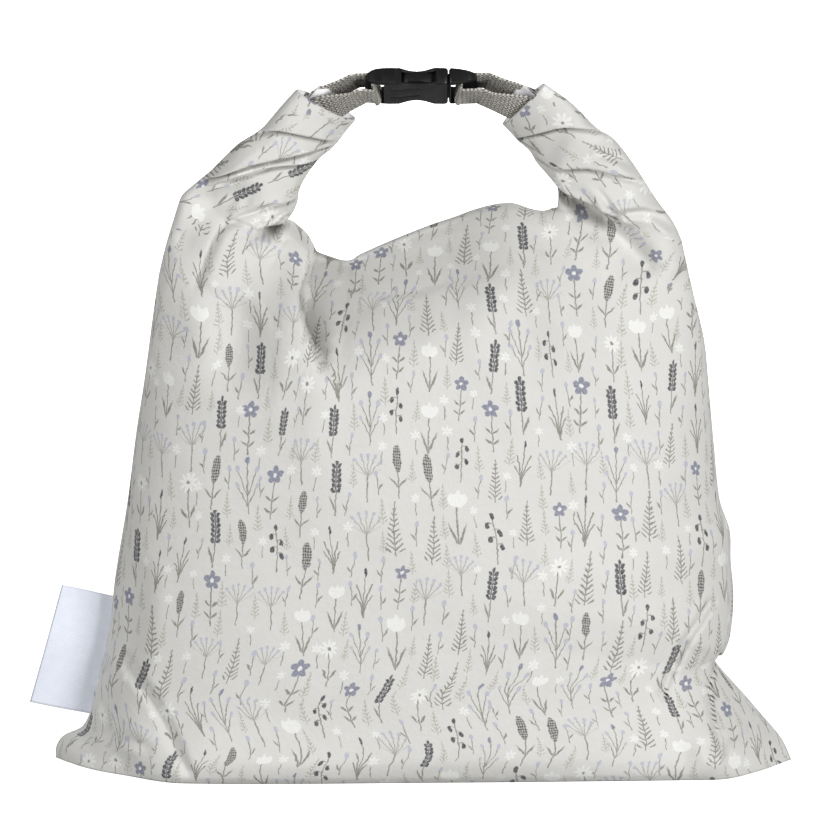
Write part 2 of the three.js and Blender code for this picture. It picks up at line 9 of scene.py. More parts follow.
import bmesh
import bpy
import numpy as np
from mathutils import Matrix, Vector


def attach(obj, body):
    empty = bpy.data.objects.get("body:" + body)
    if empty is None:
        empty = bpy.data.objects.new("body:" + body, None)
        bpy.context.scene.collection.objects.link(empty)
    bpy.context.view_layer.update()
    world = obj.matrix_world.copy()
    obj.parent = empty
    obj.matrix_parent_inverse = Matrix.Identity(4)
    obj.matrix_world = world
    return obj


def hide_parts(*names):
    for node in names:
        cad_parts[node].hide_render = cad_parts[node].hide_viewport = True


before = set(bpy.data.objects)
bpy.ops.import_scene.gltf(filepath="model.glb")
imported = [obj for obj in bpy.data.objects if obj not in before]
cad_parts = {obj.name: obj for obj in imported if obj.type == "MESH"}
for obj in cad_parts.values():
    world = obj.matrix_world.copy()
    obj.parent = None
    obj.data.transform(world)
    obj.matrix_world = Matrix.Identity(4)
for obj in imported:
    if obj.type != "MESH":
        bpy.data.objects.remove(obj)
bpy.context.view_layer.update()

MM = 0.001

# Camera: the photograph's angle and the width of the view at the bag
CAMERA_AIM = (-5.2, 0.0, 154.6)
CAMERA_ELEVATION = 12.0
CAMERA_DISTANCE = 8000.0
VIEW_WIDTH = 359.3
SENSOR = 36.0


def table(columns, *rows):
    """Named columns of numbers, one tuple for each row."""
    return dict(zip(columns.split(), np.array(rows, float).T))


# Left and right edge of the body, from the tip of the bottom corner (v 0) to the shoulder (v 1)
LEFT_SIDE = table(
    "v x z",
    (0, -161, 1.5),
    (0.02, -160.6, 6.6),
    (0.04, -157.6, 11),
    (0.07, -149.6, 14.6),
    (0.095, -146.3, 19.8),
    (0.13, -144.4, 27),
    (0.24, -137.8, 56),
    (0.34, -134.6, 82),
    (0.47, -129.4, 114),
    (0.6, -125.3, 146),
    (0.7, -121.6, 170),
    (0.88, -115.6, 214),
    (0.95, -112, 230),
    (1, -108, 243.4),
)
RIGHT_SIDE = table(
    "v x z",
    (0, 161, 1.5),
    (0.045, 156.4, 11),
    (0.1, 145, 23.5),
    (0.17, 127.6, 43),
    (0.2, 131.4, 47),
    (0.235, 134.2, 54),
    (0.31, 135.7, 71),
    (0.4, 134.4, 89),
    (0.46, 133.9, 102),
    (0.51, 129.6, 115),
    (0.6, 127, 139),
    (0.7, 124.6, 165),
    (0.78, 122.6, 186),
    (0.88, 117.6, 208),
    (1, 112.4, 232),
)

# Top of the body: left shoulder, the saddle over the rolled mouth, right shoulder; y is how far back it
# leans
LEFT_ROOT = 0.2
RIGHT_ROOT = 0.8
TOP_LINE = table(
    "u x z y",
    (0, -108, 243.4, -2),
    (0.1, -84, 242, 1),
    (0.2, -58.9, 239.4, 4),
    (0.225, -55.4, 237.5, 4),
    (0.25, -50.6, 233, 4),
    (0.268, -48.2, 228.8, 4.5),
    (0.285, -46.6, 225.2, 5),
    (0.31, -42.8, 223.2, 5.5),
    (0.35, -33, 220.4, 6),
    (0.377, -27.5, 223.2, 6.5),
    (0.439, -15, 228.8, 7),
    (0.524, 2.4, 235.9, 7),
    (0.576, 12.9, 239.5, 7),
    (0.623, 22.5, 243.2, 6.5),
    (0.671, 32.1, 245.7, 6),
    (0.707, 39.5, 246.1, 5.5),
    (0.743, 46.9, 243.9, 5),
    (0.774, 53, 243.3, 4.5),
    (0.8, 58.3, 244.8, 4),
    (0.9, 86, 239.6, 1),
    (1, 112.4, 232, -3),
)

# Arms of the rolled mouth, from the shoulder (s 0) to the end: outer edge, inner edge, half thickness
LEFT_ARM = table(
    "s ox oz oy ix iz iy half",
    (0, -108, 243.4, -2, -58.9, 239.4, 4, 12),
    (0.1, -105.4, 251, -3, -55, 246.6, 5, 12),
    (0.2, -101.3, 255.4, -4.5, -54.1, 252.2, 6, 11.5),
    (0.38, -91.9, 263.9, -7, -50.9, 258.6, 7.5, 10.5),
    (0.55, -81, 275, -9, -45.2, 266, 8.5, 9.4),
    (0.75, -70.5, 282.5, -10.5, -38.4, 271.6, 9.5, 8.4),
    (0.88, -61.3, 293.3, -11, -34.6, 276.8, 10, 7.4),
    (1, -55.7, 299.6, -11, -29.8, 282.6, 10, 6.8),
)
RIGHT_ARM = table(
    "s ox oz oy ix iz iy half",
    (0, 112.4, 232, -3, 58.3, 244.8, 4, 12),
    (0.12, 108.7, 240, -4, 58.7, 249.7, 5, 12),
    (0.26, 101.5, 250.3, -6, 57.6, 254.6, 6.5, 11.5),
    (0.46, 91, 267.2, -9, 49.6, 263.3, 8.5, 10),
    (0.62, 82.7, 278, -10.5, 46, 269.1, 9.5, 9),
    (0.76, 75.3, 283, -11, 41.3, 273.1, 9.5, 8.4),
    (0.88, 64, 294.3, -11.5, 38.2, 276.4, 10, 7.4),
    (1, 53, 302.5, -12, 34.7, 280, 10, 6.8),
)

# Half depth of the stuffed body, at the back and the shoulders (depth) and in the middle of the front
# (belly), the reach of its rounding in from the side edges, and how square that is
BULGE = table(
    "v depth belly reach square",
    (0, 46.5, 46.5, 128, 5),
    (0.015, 50, 50, 128, 4.6),
    (0.05, 53.5, 53.5, 128, 4),
    (0.15, 56.5, 56.5, 130, 3),
    (0.3, 58, 58, 132, 2.5),
    (0.42, 57, 57.5, 130, 2.4),
    (0.55, 52, 56, 124, 2.4),
    (0.66, 44, 54, 114, 2.4),
    (0.75, 34.5, 51.5, 98, 2.3),
    (0.81, 27, 48, 80, 2.2),
    (0.87, 20, 40, 58, 2.1),
    (0.92, 15, 28.5, 42, 2),
    (0.96, 12.6, 18, 30, 2),
    (1, 12, 12, 24, 2),
)

# Across the body, as shares of its width: where the belly begins and ends and how wide it fades, and the
# fade of the saddle's own rounding. Up the body: where the top begins to lean.
BELLY_RANGE = (0.12, 0.88, 0.22)
SADDLE_FADE = 0.1
LEAN_FROM = 0.72

# Rounding in from the hole's edge at the saddle and beside the arms; reach of the flattened bottom
# corners, the least half depth there and how late the base lifts towards them
EDGE_ROUND = 12.0
ARM_ROUND = 24.0
EAR_REACH = 46.0
LEAST_HALF = 0.9
LEAST_WIDTH = 1e-6
BASE_LIFT_POWER = 9

# Folds need cloth that is this thick, and fade towards the table between two heights
FOLD_DEPTH = 7.0
FOLD_FOOT = (-6.0, 16.0)

# Laps of the cloth on the front: the side to the left of each line, seen along it, lies over the other
# side. A lap of the wound roll starts a new layer of it.
LAPS = table(
    "x0 z0 x1 z1 x2 z2 x3 z3 lip reach soft0 soft1 layer",
    (-72, 281.6, -61.8, 282.7, -47.8, 279, -35.5, 274.6, 3.2, 14, 0.5, 0.5, 1),
    (-92, 260.7, -74.6, 267.8, -52.5, 271.8, -38, 273.4, 2.6, 10, 0.6, 0.5, 1),
    (-86, 260, -74.6, 264.2, -65, 266.4, -52, 266.6, 3.6, 8, 1.4, 0.5, 1),
    (-84, 243.5, -74, 246.6, -65, 249, -54.6, 250.4, 4.8, 15, 2.5, 0.5, 1),
    (-78, 238.4, -72, 237.5, -66, 236.6, -58.5, 240.5, 5.2, 12, 2, 0.6, 1),
    (40, 274.5, 50, 279.5, 62, 283.5, 77, 282.4, 3.2, 14, 0.5, 0.5, 1),
    (46.5, 268, 58, 264.2, 72, 265.4, 88, 262, 3.6, 12, 0.5, 1.2, 1),
    (56, 255, 72.5, 247.5, 84.5, 238.8, 104, 217, 4, 20, 0.5, 5, 1),
    (56, 255, 66, 251.2, 75, 247.2, 84, 241.6, 4.2, 16, 0.5, 0.8, 0),
    (-67, 234.6, -75, 237.4, -86, 238, -95, 219, 4.2, 22, 1.1, 2.2, 0),
    (131, 10, 125.8, 24, 124.4, 35, 127.8, 45, 3.2, 12, 1.3, 0.5, 0),
)

# At a lap's edge: the hollow beside it, as shares of the lip's height and reach, a narrow groove, how far
# the edge hangs over the layer below and how soon that fades, how softly a line ends, how far a layer
# reaches
HOLLOW = 0.4
HOLLOW_REACH = 0.35
GROOVE_DEEP = 12.0
GROOVE_WIDE = 0.8
OVERHANG = 0.9
OVERHANG_REACH = 3.0
LAP_END = 5.0
LAYER_REACH = 40.0

# Pleat below the left shoulder: the left panel lies over the dish in the middle. It runs from its foot
# upwards, and is sharp and full grown by two shares of its length. The panel stands forward by the lip
# and hangs over the dish, which sinks by the hollow and, close to the pleat, by the groove. Some cloth is
# tucked away under it.
PLEAT = {
    "line": ((-32, 172), (-48.5, 190), (-56.3, 211), (-49, 228)),
    "lip": 9.0,
    "reach": 36.0,
    "hollow": 15.0,
    "under": 24.0,
    "groove": 12.0,
    "groove_reach": 6.0,
    "soft0": 7.0,
    "soft1": 0.45,
    "soft_by": 0.36,
    "grown_by": 0.58,
    "over": 3.5,
    "over_reach": 6.0,
}
TUCK = 13.0
TUCK_REACH = 32.0

# Creases: a hollow along each line, or a ridge where its depth is below 0, and the share of that depth by
# which the cloth beside it swells
CREASES = table(
    "x0 z0 x1 z1 x2 z2 deep reach swell",
    (77, 272, 84, 270.6, 91, 267, 1.8, 1.6, 0.35),
    (86, 245, 98, 245, 108, 239.4, 2.4, 2, 0.35),
    (-70, 236, -64.8, 237.6, -59.4, 241.8, 9, 1.8, 0.35),
    (61, 249.6, 70, 244.6, 79, 239.5, 8, 2.2, 0.2),
    (72, 242, 83, 235.5, 97, 222, 4.5, 5, 0),
    (-129.6, 49, -114, 28, -103, 6, 4.2, 2.2, 0.1),
    (-137, 14.5, -129.5, 16.5, -121, 14, 2.2, 3, 0.2),
    (-126.6, 86, -127.4, 70, -128.6, 52, 2.2, 6, 0.35),
    (125.5, 74.5, 112.9, 56, 104.6, 36, 3.8, 1.8, 0.15),
    (141, 20, 136, 18, 128, 14, 2.2, 3.5, 0.35),
    (-103, 234, -96, 246, -80, 251, 7, 8, 0),
    (-102, 240, -100, 222, -96, 196, -3.2, 9, 0.35),
    (-98, 214, -92, 202, -86, 184, 2.2, 9, 0.35),
    (-70, 224, -78, 206, -76, 180, 2.2, 9, 0.35),
    (84, 232, 76, 216, 60, 200, 2.2, 9, 0.35),
    (60, 226, 52, 212, 36, 200, 2.2, 8, 0.35),
    (-38, 214, -26, 206, -8, 204, 2.0, 8, 0.35),
    (-60, 100, -20, 70, 30, 60, 1.2, 26, 0.35),
    (30, 150, 70, 120, 96, 96, 1.2, 22, 0.35),
)

# Place and width of a crease's swelling, in reaches of the crease
SWELL_AT = 1.9
SWELL_WIDE = 0.9

# Pockets of shadow where the arms fold over the body
PITS = table(
    "x z deep reach",
    (-67.4, 236.2, 8, 3.6),
    (68, 243.4, 8, 4),
    (76, 236.6, 6, 6),
    (92, 229, 4.5, 9),
    (8, 226, 4, 20),
)

# Waves of slack cloth: the height, the rates of two crossed sines for each millimetre, and the sine that
# bends the first of them
SLACK = table(
    "high x1 z1 bend bend_x bend_z x2 z2 phase",
    (0.5, 1 / 19, 0, 0.8, 0, 1 / 31, 0, 1 / 27, 1.1),
    (0.32, 0, 1 / 11, 1.3, 1 / 23, 0, 1 / 37, 0, 0.4),
    (0.16, 1 / 6.1, 1 / 9.3, 0, 0, 0, 1 / 43, 1 / 17, 0),
)

# Line of the bottom seam on the table: how far in front of the bag's middle plane it lies
BASE_LINE = table(
    "x front",
    (-161, 8),
    (-156, 15),
    (-144, 28),
    (-129.5, 38),
    (-116, 48),
    (-106, 52),
    (-60, 53),
    (0, 51),
    (77, 48),
    (114.5, 46),
    (132.5, 44),
    (148, 29),
    (161, 12),
)
BASE_LINE_TOP = 0.16

# The roll on the back: its lower edge and two laps, as heights under the saddle line
BACK_ROLL = table(
    "drop lip reach",
    (36, 6.5, 22),
    (22, 1.6, 9),
    (10, 1.4, 8),
)
BACK_SOFT = 1.2
BACK_RANGE = (0.1, 0.9, 0.15)

# The back's own slack and the arms' laps there, as shares of the front's, both moved, and the shift of
# its print
BACK_SLACK = {"share": 0.8, "x": 90.0, "z": 40.0}
BACK_LAPS = {"share": 0.8, "lower": 3.0}
BACK_PRINT_SHIFT = (173.0, 61.0)

# Grid of the skin. Columns and rows are spaced evenly in part and crowd towards their ends for the rest.
SHOULDER_COLUMNS = 52
SADDLE_COLUMNS = 96
BODY_ROWS = 150
ARM_ROWS = 150
BASE_ROWS = 8
SHOULDER_EVEN = 0.35
SADDLE_EVEN = 0.55
ROWS_EVEN = 0.55
LINE_SAMPLES = 48
EDGE_SAMPLES = 260
SEARCH_PARTS = 12
WELD = 0.00002
LEAST_EDGE = 0.000005

# Over which part of an arm it is drawn on to the body, and how far folds may sink in, as a share of the
# half depth
ROOT_BLEND = 0.4
MOST_SINK = {"front": 1.7, "back": 0.15}
ROOTS = {"left": slice(0, SHOULDER_COLUMNS + 1), "right": slice(-SHOULDER_COLUMNS - 1, None)}

# Open ends of the roll: the turned-in edge, as shares of the end's width and thickness, how many of its
# rows are printed, and how many rows back the arm's direction is taken
POCKET = table(
    "depth long short",
    (0, 1, 1),
    (-0.7, 0.975, 0.93),
    (-0.4, 0.94, 0.84),
    (1.6, 0.91, 0.76),
    (8, 0.86, 0.66),
)
POCKET_PRINTED = 3
POCKET_BACK = 8

# Buckle's frame, as packed: the middle of the buckle, its turn about X in degrees, half its length and half
# its bars' thickness
BUCKLE_AT = (-1.0, 0.0, 299.4)
BUCKLE_TURN = 148.0
BUCKLE_HALF = 24.4
BAR_HALF = 1.6

# Moulded edges: their radius, its steps and the least angle in degrees; points this close (in metres) are
# one point, and faces within an angle in degrees are one face
MOULD = {"radius": 0.8, "steps": 3, "angle": 28, "same_face": 1, "same_point": 1e-5, "same_plane": 1e-6}

# Share of the buckle's thickness past its bars' that is kept along its length: rounded ends and a waist
BUCKLE_TAPER = table(
    "x share",
    (-24.4, 0),
    (-23.7, 0.17),
    (-22.4, 0.43),
    (-20.4, 0.7),
    (-17, 0.93),
    (-14, 1),
    (-9, 0.95),
    (-5.5, 0.72),
    (-2, 0.6),
    (1.5, 0.72),
    (5, 0.95),
    (9, 1),
    (14, 0.93),
    (17.5, 0.72),
    (20.4, 0.46),
    (22.4, 0.24),
    (23.7, 0.08),
    (24.4, 0),
)

# Webbing: its section and how square that is, how it sits in the roll and over the buckle's bars, and
# over which shares of its run it turns and spreads
STRAP = {
    "width": 20.0,
    "thick": 1.5,
    "square_wide": 0.3,
    "square_thick": 0.6,
    "turns": (0.15, 0.85),
    "spreads": (0.1, 0.8),
    "in_roll": 1.9,
    "front_bar": 5.0,
    "back_bar": 2.75,
    "turn": 1.05,
    "lead": 3.0,
    "tucked": 6.0,
    "bow_at": 0.55,
    "bow": 0.8,
    "bar_in": {"left": 20.4, "right": 17.2},
}
STRAP_STEPS = 40
LOOP_STEPS = 12
STRAP_RING = 36

# Label: where its two corners sit in the seam, its width at the foot and the top, its rise, sway and
# ripple, how it opens beside the fold and how round and how tight the fold is. A flat size is in metres.
LABEL = {
    "x0": -143.6,
    "z0": 19.0,
    "x1": -132.6,
    "z1": 71.4,
    "wide0": 28.8,
    "wide1": 25.5,
    "tall": 54.0,
    "rise": 5.6,
    "sway": 2.4,
    "ripple": 0.5,
    "ripple_up": 9.0,
    "ripple_out": 3.0,
    "round": 0.06,
    "tight": 8,
    "open": 0.8,
    "thick": 0.7,
    "cloth": 0.2,
}
LABEL_ROWS = 48
LABEL_COLUMNS = 60

# White lining lip at the roll's ends: its place along the end's slant, its width, how far it shows, its
# rounded corners, wavy edge and square fold, its thinner sides and its curl
TAB = {
    "at": 4.4,
    "half_wide": 5.5,
    "tucked": -5.0,
    "shown": 8.0,
    "corner": 1.3,
    "wave": 0.5,
    "wave_rate": 4.0,
    "square": 4,
    "half_thick": 1.5,
    "thinner": 0.6,
    "curl": 0.7,
    "curl_rate": 3.2,
    "curl_from": 0.6,
    "cloth": 0.3,
}
TAB_COLUMNS = 24
TAB_ROWS = 24

# Studio: reach of the floor, light of the surround, two soft boxes in front of the bag and one behind it
FLOOR_REACH = 12.0
SURROUND = 0.22
BAG_MIDDLE = (0.0, 0.0, 0.14)
SOFT_BOXES = (
    {"name": "key", "place": (1.1, -1.4, 0.48), "size": 0.6, "power": 24.5},
    {"name": "fill", "place": (-1.2, -1.3, 0.62), "size": 0.6, "power": 14},
    {"name": "back", "place": (0.3, 1.8, 0.8), "size": 0.6, "power": 16},
)


def spline(rows, key, column, at):
    """A column of a table as a smooth curve: cubic pieces whose slopes come from the rows on both sides."""
    keys = rows[key]
    values = rows[column]
    rise = np.concatenate(([values[1] - values[0]], values[2:] - values[:-2], [values[-1] - values[-2]]))
    run = np.concatenate(([keys[1] - keys[0]], keys[2:] - keys[:-2], [keys[-1] - keys[-2]]))
    slope = rise / run
    i = np.clip(np.searchsorted(keys, at, side="right") - 1, 0, len(keys) - 2)
    span = keys[i + 1] - keys[i]
    f = (at - keys[i]) / span
    rest = 1 - f
    ends = values[i] * (1 + 2 * f) * rest**2 + values[i + 1] * (3 - 2 * f) * f**2
    return ends + span * f * rest * (slope[i] * rest - slope[i + 1] * f)


def smooth(low, high, value):
    """0 below low, 1 above high and a soft S between."""
    f = np.clip((value - low) / (high - low), 0, 1)
    return f * f * (3 - 2 * f)


def step(side, soft):
    """0 on a line's right and 1 on its left, soft across it."""
    return 0.5 * (1 + np.tanh(side / soft))


def within(begin, end, fade, value):
    """0 outside a range and 1 inside it, with a soft fade inside both of its ends."""
    return smooth(begin, begin + fade, value) * (1 - smooth(end - fade, end, value))


def crowded(count, even):
    """0 to 1 in steps that are shorter towards both ends; even is the share of equal steps in them."""
    k = np.linspace(0, 1, count + 1)
    return even * k + (1 - even) * (1 - np.cos(np.pi * k)) / 2


def nearest(x, z, line):
    """Each point's nearest place on a line of samples.

    Gives the distance, the place's share of the line's run, the distance to the line's left, which is below
    0 on its right, and the direction to its left.
    """
    flat = np.stack([x.ravel(), z.ravel()], 1)
    steps = np.gradient(line, axis=0)
    index = np.empty(len(flat), int)
    for part in np.array_split(np.arange(len(flat)), SEARCH_PARTS):
        away = ((flat[part, None] - line[None]) ** 2).sum(2)
        index[part] = away.argmin(1)
    offset = flat - line[index]
    tangent = steps[index] / np.linalg.norm(steps[index], axis=1, keepdims=True)
    along = (offset * tangent).sum(1)
    side = tangent[:, 0] * offset[:, 1] - tangent[:, 1] * offset[:, 0]
    inner = (index > 0) & (index < len(line) - 1)
    distance = np.where(inner, np.abs(side), np.hypot(side, along))
    leftward = np.stack([-tangent[:, 1], tangent[:, 0]], 1)
    return {
        "distance": distance.reshape(x.shape),
        "share": (index / (len(line) - 1)).reshape(x.shape),
        "side": side.reshape(x.shape),
        "leftward": leftward.reshape(*x.shape, 2),
    }


def samples(rows, key, columns, at):
    """Points of a curve: some columns of a table at places along it."""
    return np.stack([spline(rows, key, column, at) for column in columns], 1)


def line_through(points, count=LINE_SAMPLES):
    """A smooth line through a few points, as samples."""
    points = np.array(points, float)
    rows = {"k": np.linspace(0, 1, len(points)), **dict(enumerate(points.T))}
    return samples(rows, "k", range(points.shape[1]), np.linspace(0, 1, count))


def rows_of(rows):
    """A table's rows one after another, each as a dictionary of its columns."""
    names = list(rows)
    return [dict(zip(names, values)) for values in zip(*rows.values())]


def row_line(r):
    """The smooth line through the points x0 z0, x1 z1 and so on of a table's row."""
    count = sum(name.startswith("x") for name in r)
    return line_through([(r[f"x{i}"], r[f"z{i}"]) for i in range(count)])


def lap_shape(x, z):
    """Height of overlapping layers and the shift of their edges.

    A lip on a line's left dies away from it, and a groove and a hollow lie on its right. The lip's edge is
    drawn a little way over them.
    """
    height = np.zeros_like(x)
    shift = np.zeros((*x.shape, 2))
    for r in rows_of(LAPS):
        near = nearest(x, z, row_line(r))
        side = near["side"]
        soft = r["soft0"] + (r["soft1"] - r["soft0"]) * near["share"]
        beyond = np.sqrt(np.maximum(near["distance"] ** 2 - side**2, 0))
        ends = np.exp(-((beyond / LAP_END) ** 2))
        over = step(side, soft)
        upper = over * np.exp(-np.maximum(side, 0) / r["reach"])
        lower = (1 - over) * np.exp(side / (HOLLOW_REACH * r["reach"]))
        groove = GROOVE_DEEP * np.exp(-(((side + soft) / GROOVE_WIDE) ** 2)) * np.exp(-soft)
        height += (r["lip"] * (upper - HOLLOW * lower) - groove) * ends
        hang = OVERHANG * over * np.exp(-np.maximum(side, 0) / OVERHANG_REACH) * np.exp(-soft) * ends
        shift -= near["leftward"] * hang[..., None]
    return height, shift


def pleat_shape(x, z):
    """Height and shift beside the pleat, which grow from nothing at its foot.

    The panel on its left stands forward, and its edge hangs over the dish on its right, which is deepest at
    the pleat.
    """
    near = nearest(x, z, line_through(PLEAT["line"]))
    distance, share, side = near["distance"], near["share"], near["side"]
    soft = PLEAT["soft0"] + (PLEAT["soft1"] - PLEAT["soft0"]) * smooth(0, PLEAT["soft_by"], share)
    grow = smooth(0, PLEAT["grown_by"], share)
    over = step(side, soft)
    upper = PLEAT["lip"] * over * np.exp(-np.maximum(side, 0) / PLEAT["reach"])
    lower = PLEAT["hollow"] * np.exp(-distance / PLEAT["under"])
    lower = (1 - over) * (lower + PLEAT["groove"] * np.exp(-distance / PLEAT["groove_reach"]))
    hang = PLEAT["over"] * grow * over * np.exp(-np.maximum(side, 0) / PLEAT["over_reach"])
    return (upper - lower) * grow, -near["leftward"] * hang[..., None]


def lap_count(x, z):
    """On the left of how many laps a point lies, which says which layer of the roll it is on."""
    layer = np.zeros_like(x)
    for r in rows_of(LAPS):
        near = nearest(x, z, row_line(r))
        layer += r["layer"] * ((near["side"] > 0) & (near["distance"] < LAYER_REACH))
    return layer


def crease_height(x, z):
    """Hollows along the crease lines, round in section, with a swelling beside them, and round pits."""
    height = np.zeros_like(x)
    for r in rows_of(CREASES):
        off = nearest(x, z, row_line(r))["distance"] / r["reach"]
        swelling = r["swell"] * np.exp(-(((off - SWELL_AT) / SWELL_WIDE) ** 2))
        height -= r["deep"] * (np.exp(-(off**2)) - swelling)
    for r in rows_of(PITS):
        height -= r["deep"] * np.exp(-((x - r["x"]) ** 2 + (z - r["z"]) ** 2) / r["reach"] ** 2)
    return height


def slack(x, z):
    """Slight waves of slack cloth: pairs of crossed sines, the first of each pair bent by one more."""
    wave = np.zeros_like(x)
    for r in rows_of(SLACK):
        bend = r["bend"] * np.sin(x * r["bend_x"] + z * r["bend_z"])
        first = np.sin(x * r["x1"] + z * r["z1"] + bend)
        wave += r["high"] * first * np.sin(x * r["x2"] + z * r["z2"] + r["phase"])
    return wave


def body_plan():
    """The body's outline plane, blended from its four edges: u across, v up, x, z and how far back it leans.

    Its columns are closer at the shoulders and beside the pleat.
    """
    ends = crowded(SHOULDER_COLUMNS, SHOULDER_EVEN)
    k = np.linspace(0, 1, SADDLE_COLUMNS + 1)
    middle = LEFT_ROOT + (RIGHT_ROOT - LEFT_ROOT) * (SADDLE_EVEN * k + (1 - SADDLE_EVEN) * k**2)
    u = np.concatenate([LEFT_ROOT * ends[:-1], middle, RIGHT_ROOT + (1 - RIGHT_ROOT) * ends[1:]])
    v = crowded(BODY_ROWS, ROWS_EVEN)
    uu, vv = np.meshgrid(u, v)
    lift = np.abs(2 * u - 1) ** BASE_LIFT_POWER
    bottom = {
        "x": LEFT_SIDE["x"][0] + u * (RIGHT_SIDE["x"][0] - LEFT_SIDE["x"][0]),
        "z": lift * (LEFT_SIDE["z"][0] + u * (RIGHT_SIDE["z"][0] - LEFT_SIDE["z"][0])),
    }
    plan = {"u": uu, "v": vv}
    for axis in ("x", "z"):
        low = bottom[axis][None]
        high = spline(TOP_LINE, "u", axis, u)[None]
        left = spline(LEFT_SIDE, "v", axis, v)[:, None]
        right = spline(RIGHT_SIDE, "v", axis, v)[:, None]
        edges = (1 - vv) * low + vv * high + (1 - uu) * left + uu * right
        tips = (1 - uu) * ((1 - vv) * low[0, 0] + vv * high[0, 0])
        tips = tips + uu * ((1 - vv) * low[0, -1] + vv * high[0, -1])
        plan[axis] = edges - tips
    plan["z"] = np.maximum(plan["z"], 0)
    plan["lean"] = spline(TOP_LINE, "u", "y", u)[None] * smooth(LEAN_FROM, 1, vv)
    return plan


def arm_plan(rows, across):
    """An arm's outline plane, from its outer to its inner edge and up to its end: x, z, lean, half depth."""
    s = np.linspace(0, 1, ARM_ROWS + 1)
    at = {name: spline(rows, "s", name, s)[:, None] for name in rows if name != "s"}
    plan = {}
    for name, axis in (("x", "x"), ("z", "z"), ("lean", "y")):
        outer, inner = at["o" + axis], at["i" + axis]
        plan[name] = outer + (inner - outer) * across[None]
    plan["half"] = np.broadcast_to(at["half"], plan["x"].shape)
    return plan


def edge_lines():
    """The outer edge on the left and on the right, and the edge of the handle's hole, as samples."""
    k = np.linspace(0, 1, EDGE_SAMPLES)
    lines = {}
    for name, side, arm in (("left", LEFT_SIDE, LEFT_ARM), ("right", RIGHT_SIDE, RIGHT_ARM)):
        body = samples(side, "v", ("x", "z"), k)
        outer = samples(arm, "s", ("ox", "oz"), k)
        lines[name] = np.concatenate([body, outer[1:]])
        lines[name + " hole"] = samples(arm, "s", ("ix", "iz"), k)
    lines["ridge"] = samples(TOP_LINE, "u", ("x", "z"), LEFT_ROOT + (RIGHT_ROOT - LEFT_ROOT) * k)
    lines["hole"] = np.concatenate([lines["left hole"][::-1], lines["ridge"][1:-1], lines["right hole"]])
    return lines


def rounding(distance, reach, power):
    """0 at an edge, rising round to 1 at reach from it, squarer with a higher power."""
    f = np.clip(distance / reach, 0, 1)
    return np.sqrt(np.clip(1 - (1 - f) ** power, 0, 1))


def run_length(points, axis):
    """Length along a grid's lines in one direction, from their first point."""
    steps = np.linalg.norm(np.diff(points, axis=axis), axis=2)
    pad = np.zeros_like(np.take(steps, [0], axis=axis))
    return np.cumsum(np.concatenate([pad, steps], axis=axis), axis=axis)


# Turn and shift of the print on each layer of the wound arms, which cuts it at the laps
LAYER_PRINT = table(
    "turn across up",
    (0, 0, 0),
    (-38, 11, 4),
    (-66, -23, 15),
    (-24, 31, -9),
    (-52, -7, 27),
    (-80, 17, 33),
    (-30, 5, 41),
    (-60, 21, 8),
)


def print_of_layer(layer, x, z, mirror):
    """Print coordinates of a point on a layer: its place in the outline plane, turned and shifted."""
    layer = layer.astype(int) % len(LAYER_PRINT["turn"])
    turn = np.radians(LAYER_PRINT["turn"][layer]) * mirror
    across = x * np.cos(turn) + z * np.sin(turn) + LAYER_PRINT["across"][layer]
    up = z * np.cos(turn) - x * np.sin(turn) + LAYER_PRINT["up"][layer]
    return across, up


def close_edges(parts):
    """Brings front and back together on the outline: along both sides, the hole and the saddle."""
    saddle = slice(SHOULDER_COLUMNS, SHOULDER_COLUMNS + SADDLE_COLUMNS + 1)
    for name, part in parts.items():
        edges = [(slice(None), 0), (slice(None), -1)]
        if name == "body":
            edges.append((-1, saddle))
        for edge in edges:
            middle = (part["front"][edge] + part["back"][edge]) / 2
            part["front"][edge] = middle
            part["back"][edge] = middle


def close_roots(parts):
    """Draws the first rows of each arm on to the body's top row, so that the skin has no gap there."""
    fade = 1 - smooth(0, ROOT_BLEND, np.linspace(0, 1, ARM_ROWS + 1))[:, None, None]
    for name, columns in ROOTS.items():
        for face in ("front", "back"):
            gap = parts["body"][face][-1, columns] - parts[name][face][0]
            parts[name][face] = parts[name][face] + gap[None] * fade


def body_bulge(plan, lines):
    """Half depth of the body, how much fuller its front is, and its lean.

    Half depth = the table's depth, times a rounding in from the outer edge, times one in from the hole's
    edge, flattened at the bottom corners. The lean brings the bottom edge on to the base line.
    """
    u, v, x, z = (plan[name] for name in "uvxz")
    left, right, hole = (nearest(x, z, lines[name])["distance"] for name in ("left", "right", "hole"))
    depth, belly, reach, square = (spline(BULGE, "v", name, v) for name in BULGE if name != "v")
    belly = 1 + (belly / depth - 1) * within(*BELLY_RANGE, u)
    saddle = within(LEFT_ROOT, RIGHT_ROOT, SADDLE_FADE, u)
    inner = ARM_ROUND + (EDGE_ROUND - ARM_ROUND) * saddle
    rounded = rounding(np.minimum(left, right), reach, square) * rounding(hole, inner, 2)
    half = depth * rounded
    for side in (LEFT_SIDE, RIGHT_SIDE):
        half = half * smooth(0, EAR_REACH, np.hypot(x - side["x"][0], z - side["z"][0]))
    half = np.maximum(half, LEAST_HALF * rounded)
    forward = spline(BASE_LINE, "x", "front", x[0]) - half[0]
    lean = plan["lean"] - forward[None] * (1 - smooth(0, BASE_LINE_TOP, v))
    return half, belly, lean


def arm_bulge(plan, lines, name):
    """Half depth of an arm, round from its outer edge to its inner one."""
    outer, inner = (nearest(plan["x"], plan["z"], lines[name + end])["distance"] for end in ("", " hole"))
    wide = np.maximum(outer + inner, LEAST_WIDTH) / 2
    return plan["half"] * rounding(outer, wide, 2) * rounding(inner, wide, 2)


